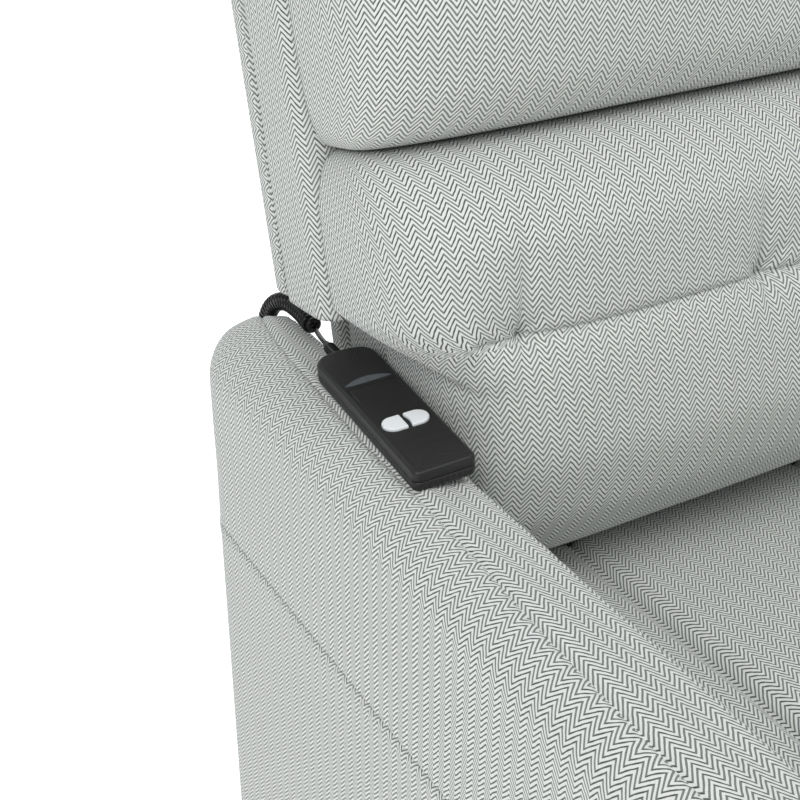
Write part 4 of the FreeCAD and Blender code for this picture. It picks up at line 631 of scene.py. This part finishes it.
def build_border():
    """A rounded section carried along two lines, the inner line of the band and the back's outer edge, and
    spread between them. Its outer half swells unevenly and its lower edge dips at the front."""
    foot, leg_x, step, inner_x, inner_top = 250.0, 245.0, float(BACK_STEP), 226.4, 668.4
    band, depth, dip = 68, 66, 8
    outer = rounded([(292, step), (298, 677, 38), (-298, 677, 38), (-292, step)], steps=16, closed=False)
    inner = [(inner_x, step), (inner_x, inner_top), (-inner_x, inner_top), (-inner_x, step)]
    # the outer line in runs of side, corner, top, corner and side; the inner line stands still at its corners
    outer_runs = [outer[:2], outer[1:18], outer[17:19], outer[18:35], outer[34:]]
    inner_runs = [inner[:2], [inner[1]] * 2, inner[1:3], [inner[2]] * 2, inner[2:]]
    rows_out, rows_in = [], []
    for out_run, in_run, count in zip(outer_runs, inner_runs, (90, 17, 120, 17, 90)):
        t = np.linspace(0, 1, count, endpoint=False)
        out_run, in_run = np.array(out_run, float), np.array(in_run, float)
        rows_out.append(walk(out_run, t * lengths(out_run)[-1]))
        rows_in.append(in_run[0] + (in_run[-1] - in_run[0]) * t[:, None])
    leg_z = np.array([foot, foot + 4, step - 5, step - 1])
    leg_out, leg_in = np.column_stack([[leg_x] * 4, leg_z]), np.column_stack([[inner_x] * 4, leg_z])
    rows_out = np.concatenate([leg_out] + rows_out + [outer[-1:], (leg_out * [-1, 1])[::-1]])
    rows_in = np.concatenate([leg_in] + rows_in + [np.array(inner[-1:], float), (leg_in * [-1, 1])[::-1]])
    loop = even(rounded([(0, 0.6), (band, 0.6, 10), (band, depth, 15), (0, depth)], steps=9), 5)
    share, deep = loop[:, 0] / band, loop[:, 1]
    flat = rows_in[:, None] * (1 - share)[None, :, None] + rows_out[:, None] * share[None, :, None]
    puff = 1.2 * wander(flat[..., 0] + flat[..., 1], deep[None], 40)
    out = rows_out - rows_in
    out /= np.linalg.norm(out, axis=1, keepdims=True)
    flat = flat + out[:, None] * (puff * ease((share - 0.6) / 0.4))[..., None] * 0.8
    flat[..., 1] -= dip * deep / depth * np.exp(-np.maximum(flat[..., 1] - step, 0) / 25)
    grid = np.stack([flat[..., 0], np.broadcast_to(-deep, flat.shape[:2]), flat[..., 1]], axis=-1)
    run = lengths(rows_out)
    around = lengths(np.concatenate([loop, loop[:1]]))
    weave = np.stack([np.tile(around, (len(run), 1)), np.repeat(run[:, None], len(around), axis=1)], axis=-1)
    made = grid_piece("back_border_cover", leaned(grid), weave)
    dress(made, "backrest", "fabric", cloth, "back_border")


build_border()

# The footrest: foam and cloth over a plywood board, folded round the board's edges and stapled behind it.
# Closed, it stands upright below the front of the seat.


def outline_toward(outline, inset, middle):
    """The outline drawn in by an inset towards a middle point, keeping its own shape."""
    away = outline - np.array(middle)
    reach = np.abs(away).max(axis=0)
    return np.array(middle) + away * (reach - inset) / reach


def facing(points, y):
    """Outline points (x, z) at a depth y."""
    return np.stack([points[:, 0], np.full(len(points), y), points[:, 1]], axis=-1)


def build_foot_cover():
    """Rings of the board's outline: round the board 1.2 mm outside it, then over a quarter turn 16 mm wide
    and 12 mm high into a shallow dome."""
    half, low, high, face, corner = 250, 70, 380, -375.4, 1.5
    outline = even(rounded([(-half, low, corner), (half, low, corner), (half, high, corner),
                            (-half, high, corner)], steps=6), 3)
    turn = np.linspace(0, 1, 9)[1:] * math.pi / 2
    levels = [(0, -12.4), (-1.2, -11.8), (-1.2, -0.4), (-0.4, 1.2), (0, 6)]
    levels += [(16 * (1 - math.cos(a)), 6 + 12 * math.sin(a)) for a in turn]
    levels += [(40, 19.6), (70, 21), (105, 22), (140, 22.4)]
    middle = (0, (low + high) / 2)
    grid = np.stack([facing(outline_toward(outline, inset, middle), face - height)
                     for inset, height in levels])
    u = np.concatenate([grid[..., 0], grid[:, :1, 0]], axis=1)
    v = np.concatenate([grid[..., 2], grid[:, :1, 2]], axis=1)
    made = grid_piece("footrest_cover", grid, np.stack([u, v], axis=-1))
    dress(made, "footrest", "fabric", cloth, "footrest_pad")


build_foot_cover()

# Cloth stapled over timber that shows: the front of the seat frame, and the inner boards of the arms from the
# hem up to the pad.

front_outline = even(rounded([(-221, 329, 3), (221, 329, 3), (221, 395.6, 3), (-221, 395.6, 3)], steps=4), 6)
front_levels = [(1, -338), (0, -338.6), (0, -341.4), (0.8, -342)]
front_cover = stack("seat_front_cover", front_outline, front_levels, facing, weave=True)
dress(front_cover, "carriage", "fabric", cloth)

board_outline = even(rounded([(264.4, -364.6, 2), (283.6, -364.6, 2), (283.6, 355.6, 2), (264.4, 355.6, 2)],
                             steps=4), 6)
board_levels = [(1, 49), (0, 49.6), (0, 399)]
for side, sign in (("left", -1), ("right", 1)):
    board_cover = stack(f"arm_board_cover_{side}", board_outline, board_levels, beside_seat(sign), weave=True)
    dress(board_cover, "carriage", "fabric", cloth)

# The rear of the body: a stiff board covered in the same cloth and fixed between the two arms, with its edges
# turned in.

body_outline = even(rounded([(-254, 60, 3), (254, 60, 3), (254, 395, 3), (-254, 395, 3)], steps=4), 6)
body_levels = [(0.8, 352), (0, 352.8), (0, 358.4), (0.6, 359.6), (1.6, 360)]
rear_board = stack("rear_board_cover", body_outline, body_levels, facing, weave=True)
dress(rear_board, "carriage", "fabric", cloth, "rear_panel")

# The wired handset, two moulded shells in satin black plastic that meet in a fine groove. It lies on the left
# arm with its inner side a little higher, and its cord end carries a dished crescent in pale grey.

HANDSET = (-276.8, 152.7, 649.852)
HANDSET_TURN, HANDSET_ROLL = math.radians(-4.7), math.radians(4)
HANDSET_PLAN = [(-23, -87, 6), (23, -87, 6), (23, 82.7, 14), (0, 88.64, 50), (-23, 82.7, 14)]
BUTTON_Y, BUTTON_ROUND, BUTTON_REACH, RIB_HALF = -26.5, 8.5, 17.25, 1.1
BLACK = "#1d1d1c"


def in_hand(points, height):
    """Points (across, along) of the handset at a height, rolled, turned and set down on the arm."""
    a, b = points[..., 0], points[..., 1]
    high = np.broadcast_to(height, a.shape)
    across = a * math.cos(HANDSET_ROLL) - high * math.sin(HANDSET_ROLL)
    up = a * math.sin(HANDSET_ROLL) + high * math.cos(HANDSET_ROLL)
    c, s = math.cos(HANDSET_TURN), math.sin(HANDSET_TURN)
    return np.stack([HANDSET[0] + across * c - b * s, HANDSET[1] + across * s + b * c, HANDSET[2] + up],
                    axis=-1)


def moulded_abs(tree, colour, rough):
    """ABS from a spark-eroded mould, whose fine grain softens its highlights. The real grain is about a tenth
    of a millimetre; it is drawn at 0.7 mm, 1500 to the metre, so that it shows."""
    place = node(tree, "TexCoord")["Object"]
    grain = node(tree, "TexNoise", {"Vector": place, "Scale": 1500.0, "Detail": 2.0})[0]
    bump = node(tree, "Bump", {"Height": grain, "Strength": 0.12, "Distance": 0.0002})[0]
    return node(tree, "BsdfPrincipled", {"Base Color": colour, "Roughness": rough, "Normal": bump,
                                         "Specular IOR Level": 0.4})[0]


def build_satin_plastic(tree):
    """Black ABS with a satin face."""
    return moulded_abs(tree, linear(BLACK), 0.4)


def build_dished_plastic(tree):
    """The same black ABS, with the pale grey of the dished crescent where the map called dish is 1."""
    dish = node(tree, "Attribute", attribute_name="dish")["Fac"]
    colour = node(tree, "Mix", {0: dish, 6: linear(BLACK), 7: linear("#5a5e62")}, data_type="RGBA")[2]
    return moulded_abs(tree, colour, 0.4)


satin_plastic = finish_material("satin_black_abs", build_satin_plastic)
dished_plastic = finish_material("satin_black_abs_dished", build_dished_plastic)


def shell_rings(outline, levels):
    """Rings (across, along, height) of an outline drawn in by each level's inset at its height."""
    return np.stack([np.column_stack([drawn_in(outline, inset), np.full(len(outline), float(height))])
                     for inset, height in levels])


def handset_top():
    """The upper shell's face as a relief over its plan: a bevelled rim, the crescent dish near the cord end,
    the fine outline of the key panel, a slight fold across the lower part, and wells round the buttons. The
    face's rings shrink towards a spine along the middle."""
    plan = even(rounded(HANDSET_PLAN, steps=16), 0.7)
    rim = shell_rings(plan, [(0.7, 7.9), (0.1, 8.5), (0, 9.2), (0, 13.2), (0.35, 14.4), (1.2, 15.4),
                             (2.6, 16)])
    inner = rim[-1]
    shrink = np.concatenate([np.linspace(1, 0.9, 9)[1:], np.linspace(0.9, 0.004, 84)[1:]])
    spine = np.clip(inner[:, 1], -66, 64)
    face = np.stack([inner] + [np.column_stack([inner[:, 0] * share, spine + (inner[:, 1] - spine) * share,
                                                inner[:, 2]]) for share in shrink])
    x, y = face[..., 0], face[..., 1]

    # the crescent lies between a nearly straight line and an arc, and is deepest along the line
    chord = 33.8 + 0.6 * (x / 19) ** 2
    arc = 33.8 + 7.6 * (1 - (x / 19.4) ** 2)
    dish = ease((y - chord) / 0.6 + 0.5) * ease((arc - y) / 0.6 + 0.5)
    step = 1.2 * dish * np.clip((arc - y) / np.maximum(arc - chord, 0.1), 0, 1)

    # the key panel's groove runs along its top and fades down both sides; 50 keeps it off everywhere else
    panel_half, panel_top, panel_low = 17.7, 28.7, 4
    sides = np.abs(np.abs(x) - panel_half) + 50 * (y > panel_top) + 50 * (y < panel_low)
    ahead = np.abs(y - panel_top) + 50 * (np.abs(x) > panel_half)
    faded = np.where(sides < ahead, ease((y - panel_low) / 10), 1)
    groove = 0.7 * np.exp(-(np.minimum(sides, ahead) / 0.6) ** 2) * faded

    fold = 0.5 * np.clip((-51.3 - y) / 8, 0, 1) * ease((20 - np.abs(x)) / 3)
    front_arc = 0.3 * np.exp(-((np.hypot(x, y + 98) - 23) / 0.5) ** 2) * (y < -70)
    well = np.hypot(np.maximum(np.abs(x) - (BUTTON_REACH - BUTTON_ROUND), 0), y - BUTTON_Y)
    dip = 0.9 * ease((BUTTON_ROUND + 0.8 - well) / 0.5) * (np.abs(x) > 0.5)
    face[..., 2] -= step + groove + fold + front_arc + dip
    grid = np.concatenate([rim[:-1], face])
    made = grid_piece("handset_upper_cover", in_hand(grid[..., :2], grid[..., 2]))
    tone = made.data.attributes.new("dish", "FLOAT", "POINT")
    tone.data.foreach_set("value", np.concatenate([np.zeros(rim[:-1].shape[:2]), dish]).ravel())
    dress(made, "carriage", "handset_plastic", dished_plastic, "handset_upper_shell", "handset_circuit_board")


def handset_bottom():
    """The lower shell, a stack of rings with nine finger notches 4.2 mm apart under its front edge, each the
    upper half of a cosine."""
    notch_pitch, notch_reach = 4.2, 19
    plan = even(rounded(HANDSET_PLAN, steps=16), 0.7)
    grid = shell_rings(plan, [(2.6, 0.0), (1.4, 0.4), (0.5, 1.4), (0.1, 2.6), (0, 4.0), (0, 6.6), (0.3, 7.2),
                              (0.9, 7.6)])
    in_reach = (grid[..., 1] < -84) * (np.abs(grid[..., 0]) < notch_reach)
    notch = 0.9 * np.maximum(0, np.cos(grid[..., 0] * 2 * math.pi / notch_pitch)) * in_reach
    grid[..., 1] += notch * ease((6.4 - grid[..., 2]) / 2)
    made = grid_piece("handset_lower_cover", in_hand(grid[..., :2], grid[..., 2]))
    dress(made, "carriage", "handset_plastic", satin_plastic, "handset_lower_shell")


handset_top()
handset_bottom()

# The two push buttons, white and smooth ABS caps, the halves of one stadium; the right one is hollowed
# towards the rib that stands between them. Each cap stands in the upper shell over its switch.


def stadium_half(sign):
    """Outline of the button on one side, anticlockwise: two small corners at the rib and a half circle
    outside."""
    near, far, end, small = BUTTON_Y - BUTTON_ROUND, BUTTON_Y + BUTTON_ROUND, BUTTON_ROUND - 0.01, 1.2
    corners = [(RIB_HALF, near, small), (BUTTON_REACH, near, end), (BUTTON_REACH, far, end),
               (RIB_HALF, far, small)]
    if sign > 0:
        corners.append((2.7, BUTTON_Y, 9))
    outline = rounded(corners, steps=14) * [sign, 1]
    return outline if sign > 0 else outline[::-1]


def build_white_plastic(tree):
    """White ABS caps, a little smoother than the shells."""
    return moulded_abs(tree, linear("#e6e9ea"), 0.38)


white_plastic = finish_material("white_button_abs", build_white_plastic)
CAP_LEVELS = [(0.2, 10.5), (0.2, 16.4), (0.4, 16.9), (0.8, 17.15), (0.9, 17.2), (1.0, 17.2)]
for name, sign in (("button_raise", -1), ("button_recline", 1)):
    cap = stack(name + "_cap", even(stadium_half(sign), 0.5), CAP_LEVELS, in_hand)
    dress(cap, name, "button_plastic", white_plastic, name)

# The handset's cord: a short lead, 26 tight curls that lie over the rear of the arm, then smooth cord that
# hangs behind it and runs down to a gland in the rear board. One flex of 3.8 mm, black and glossy.

CURL_ROUTE = [(-0.2628, 0.293, 0.6556), (-0.2596, 0.318, 0.6558), (-0.2585, 0.334, 0.6556),
              (-0.2595, 0.3525, 0.6549), (-0.2625, 0.3695, 0.6462), (-0.2645, 0.3808, 0.6285),
              (-0.2655, 0.3836, 0.602), (-0.2655, 0.3836, 0.568), (-0.2655, 0.3836, 0.535)]
TAIL_ROUTE = [(-0.265, 0.3834, 0.475), (-0.2634, 0.383, 0.42), (-0.2606, 0.3826, 0.364),
              (-0.2568, 0.3826, 0.309), (-0.2524, 0.383, 0.256), (-0.2478, 0.384, 0.21),
              (-0.2434, 0.3854, 0.176), (-0.2404, 0.3862, 0.1486), (-0.24, 0.3786, 0.141),
              (-0.24, 0.368, 0.141)]
CORD_WIDE, CURL_WIDE, CURLS, CURL_PITCH = 0.0038, 0.0152, 26, 0.0043
BOOT_LONG, STRAIGHT = 0.027, 0.008


def spline(name, points, radius=0.0):
    """A curve object with one smooth spline whose control points are the route's points."""
    data = bpy.data.curves.new(name, "CURVE")
    data.dimensions = "3D"
    line = data.splines.new("NURBS")
    line.points.add(len(points) - 1)
    line.points.foreach_set("co", np.column_stack([points, np.ones(len(points))]).ravel())
    line.order_u = 3
    line.use_endpoint_u = True
    line.resolution_u = 4
    data.bevel_depth = radius
    data.bevel_resolution = 3
    thing = bpy.data.objects.new(name, data)
    bpy.context.collection.objects.link(thing)
    return thing


def line_of(thing):
    """Points along a curve that has no thickness."""
    mesh = bpy.data.meshes.new_from_object(thing)
    points = np.empty(len(mesh.vertices) * 3)
    mesh.vertices.foreach_get("co", points)
    bpy.data.meshes.remove(mesh)
    return points.reshape(-1, 3)


def curls():
    """Points of the curly part: a helix about the route, turn on turn, whose first and last curls are pulled
    apart. Turn n of N starts at 4.3 n + 7 (1 - e^(-n/0.9)) + 14 e^(-(N - n)/0.8) mm along the route."""
    guide = spline("curl_guide", CURL_ROUTE)
    guide.data.splines[0].resolution_u = 24
    middle = line_of(guide)
    bpy.data.objects.remove(guide)
    turns = np.linspace(0, CURLS, CURLS * 16 + 1)
    centre = walk(middle, CURL_PITCH * turns + 0.007 * (1 - np.exp(-turns / 0.9))
                  + 0.014 * np.exp((turns - CURLS) / 0.8))
    along = np.gradient(centre, axis=0)
    along /= np.linalg.norm(along, axis=1, keepdims=True)
    across = np.array([1.0, 0, 0]) - along * along[:, :1]
    across /= np.linalg.norm(across, axis=1, keepdims=True)
    up = np.cross(along, across)
    radius = (CURL_WIDE - CORD_WIDE) / 2 * 1.02 * ease(np.minimum(turns, CURLS - turns) / 0.9)
    angle = 2 * math.pi * turns
    return centre + (across * np.cos(angle)[:, None] + up * np.sin(angle)[:, None]) * radius[:, None]


leaving = np.array([math.sin(-HANDSET_TURN), math.cos(HANDSET_TURN), 0.0])
boot_start = in_hand(np.array([0.0, 87.1]), 7.3) / 1000
boot_end = boot_start + leaving * BOOT_LONG
helix = curls()
enter = (helix[1] - helix[0]) / np.linalg.norm(helix[1] - helix[0])
below = [point for point in CURL_ROUTE if point[2] < helix[-1][2] - 0.012]
cord_points = [boot_end, boot_end + leaving * STRAIGHT, helix[0] - enter * STRAIGHT, *helix, *below,
               *TAIL_ROUTE]
cord = spline("handset_cord", np.array(cord_points), CORD_WIDE / 2)


def build_flex(tree):
    """Glossy black PVC sheath, with a small sharp highlight on each curl."""
    return node(tree, "BsdfPrincipled", {"Base Color": linear("#0b0b0b"), "Roughness": 0.22,
                                         "Specular IOR Level": 0.35})[0]


flex = finish_material("black_pvc_flex", build_flex)
dress(cord, "carriage", "cord_rubber", flex, "handset_cord_lead", "handset_cord_coil", "handset_cord_tail")

# The strain relief, moulded on the cord in the same black PVC. It sits in the cord end of the handset and
# keeps the cord from kinking there.


def build_boot():
    """A profile of (distance along, radius) turned about the cord: eight rings 2.6 mm apart, from half waves
    that taper, then a smooth sleeve that the cord leaves."""
    rings, pitch = 8, 2.6
    t = np.linspace(0, 1, rings * 8 + 1)
    wave = np.abs(np.sin(t * rings * math.pi))
    ribbed = np.column_stack([t * rings * pitch, 5.2 - 0.6 * t - 0.95 * (1 - wave)])
    sleeve = np.array([(21.2, 3.1), (22.0, 2.85), (26.4, 2.75), (27, 2.3)])
    profile = np.concatenate([[(0, 4.4)], ribbed[1:], sleeve])
    angle = np.linspace(0, 2 * math.pi, 28, endpoint=False)
    side = np.cross(leaving, [0, 0, 1])
    ring = side * np.cos(angle)[:, None] + np.array([0, 0, 1.0]) * np.sin(angle)[:, None]
    grid = boot_start * 1000 + leaving * profile[:, :1, None] + ring[None] * profile[:, 1:, None]
    made = grid_piece("handset_cord_boot_cover", grid)
    return dress(made, "carriage", "cord_rubber", flex, "handset_cord_boot")


boot = build_boot()

# Metal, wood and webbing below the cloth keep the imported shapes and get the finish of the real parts.


def build_plywood(tree):
    """Birch plywood and pine boards: pale straw wood with darker grain lines that run from front to rear."""
    place = node(tree, "TexCoord")["Object"]
    long = node(tree, "Mapping", {"Vector": place, "Scale": (40, 4, 60)})[0]
    grain = node(tree, "TexNoise", {"Vector": long, "Scale": 3.0, "Detail": 5.0, "Distortion": 0.6})[0]
    colour = node(tree, "Mix", {0: grain, 6: linear("#b98f5e"), 7: linear("#dcbc8c")}, data_type="RGBA")[2]
    return node(tree, "BsdfPrincipled", {"Base Color": colour, "Roughness": 0.65})[0]


def build_black_steel(tree):
    """Powder-coated steel: soft black with a fine orange-peel, drawn at 1.4 mm, 700 to the metre."""
    place = node(tree, "TexCoord")["Object"]
    peel = node(tree, "TexNoise", {"Vector": place, "Scale": 700.0, "Detail": 2.0})[0]
    bump = node(tree, "Bump", {"Height": peel, "Strength": 0.15, "Distance": 0.0003})[0]
    return node(tree, "BsdfPrincipled", {"Base Color": linear("#1d1e1f"),
                                         "Roughness": 0.45, "Normal": bump})[0]


def build_zinc(tree):
    """Bright zinc plating, faintly blotched in patches of about 17 mm, 60 to the metre."""
    place = node(tree, "TexCoord")["Object"]
    blotch = node(tree, "TexNoise", {"Vector": place, "Scale": 60.0, "Detail": 3.0})[0]
    rough = node(tree, "MapRange", {"Value": blotch, "To Min": 0.28, "To Max": 0.46})[0]
    return node(tree, "BsdfPrincipled", {"Base Color": linear("#a9adb0"),
                                         "Metallic": 1.0, "Roughness": rough})[0]


def build_bright(tree):
    """Ground steel left bright, smooth enough for clear highlights."""
    return node(tree, "BsdfPrincipled", {"Base Color": linear("#c3c6c8"),
                                         "Metallic": 1.0, "Roughness": 0.22})[0]


def build_webbing(tree):
    """Elastic upholstery webbing: grey-black rubber thread with fine ribs, drawn on the slant."""
    place = node(tree, "TexCoord")["Object"]
    rib = node(tree, "TexWave", {"Vector": place, "Scale": 160.0}, bands_direction="DIAGONAL")[0]
    colour = node(tree, "Mix", {0: rib, 6: linear("#2c2c2e"), 7: linear("#55544f")}, data_type="RGBA")[2]
    return node(tree, "BsdfPrincipled", {"Base Color": colour, "Roughness": 0.85})[0]


plywood = finish_material("plywood", build_plywood)
black_steel = finish_material("black_powder_coat", build_black_steel)
zinc = finish_material("zinc_plate", build_zinc)
bright = finish_material("bright_steel", build_bright)
webbing = finish_material("elastic_webbing", build_webbing)
FINISHES = {
    "plywood": plywood, "black_steel": black_steel, "zinc_steel": zinc, "bright_metal": bright,
    "webbing": webbing, "black_plastic": satin_plastic, "cord_rubber": flex,
}
for part in frame["record"]["subparts"]:
    if part["material_slot"] in FINISHES:
        kept = frame["nodes"][part["node"]].data.materials
        kept.clear()
        kept.append(FINISHES[part["material_slot"]])

# The floor: a white sheet that keeps the chair's soft shadow.

bpy.ops.mesh.primitive_plane_add(size=14, location=(0, 0, -0.0005))
floor = bpy.context.object
floor.name = "floor"


def build_floor(tree):
    """Matt white paper with a little light of its own, so that it meets the white room without an edge."""
    matt = node(tree, "BsdfDiffuse", {"Color": (0.92, 0.92, 0.92, 1)})[0]
    glow = node(tree, "Emission", {"Color": (1, 1, 1, 1), "Strength": 0.55})[0]
    return node(tree, "AddShader", {0: matt, 1: glow})[0]


floor.data.materials.append(finish_material("white_floor", build_floor))
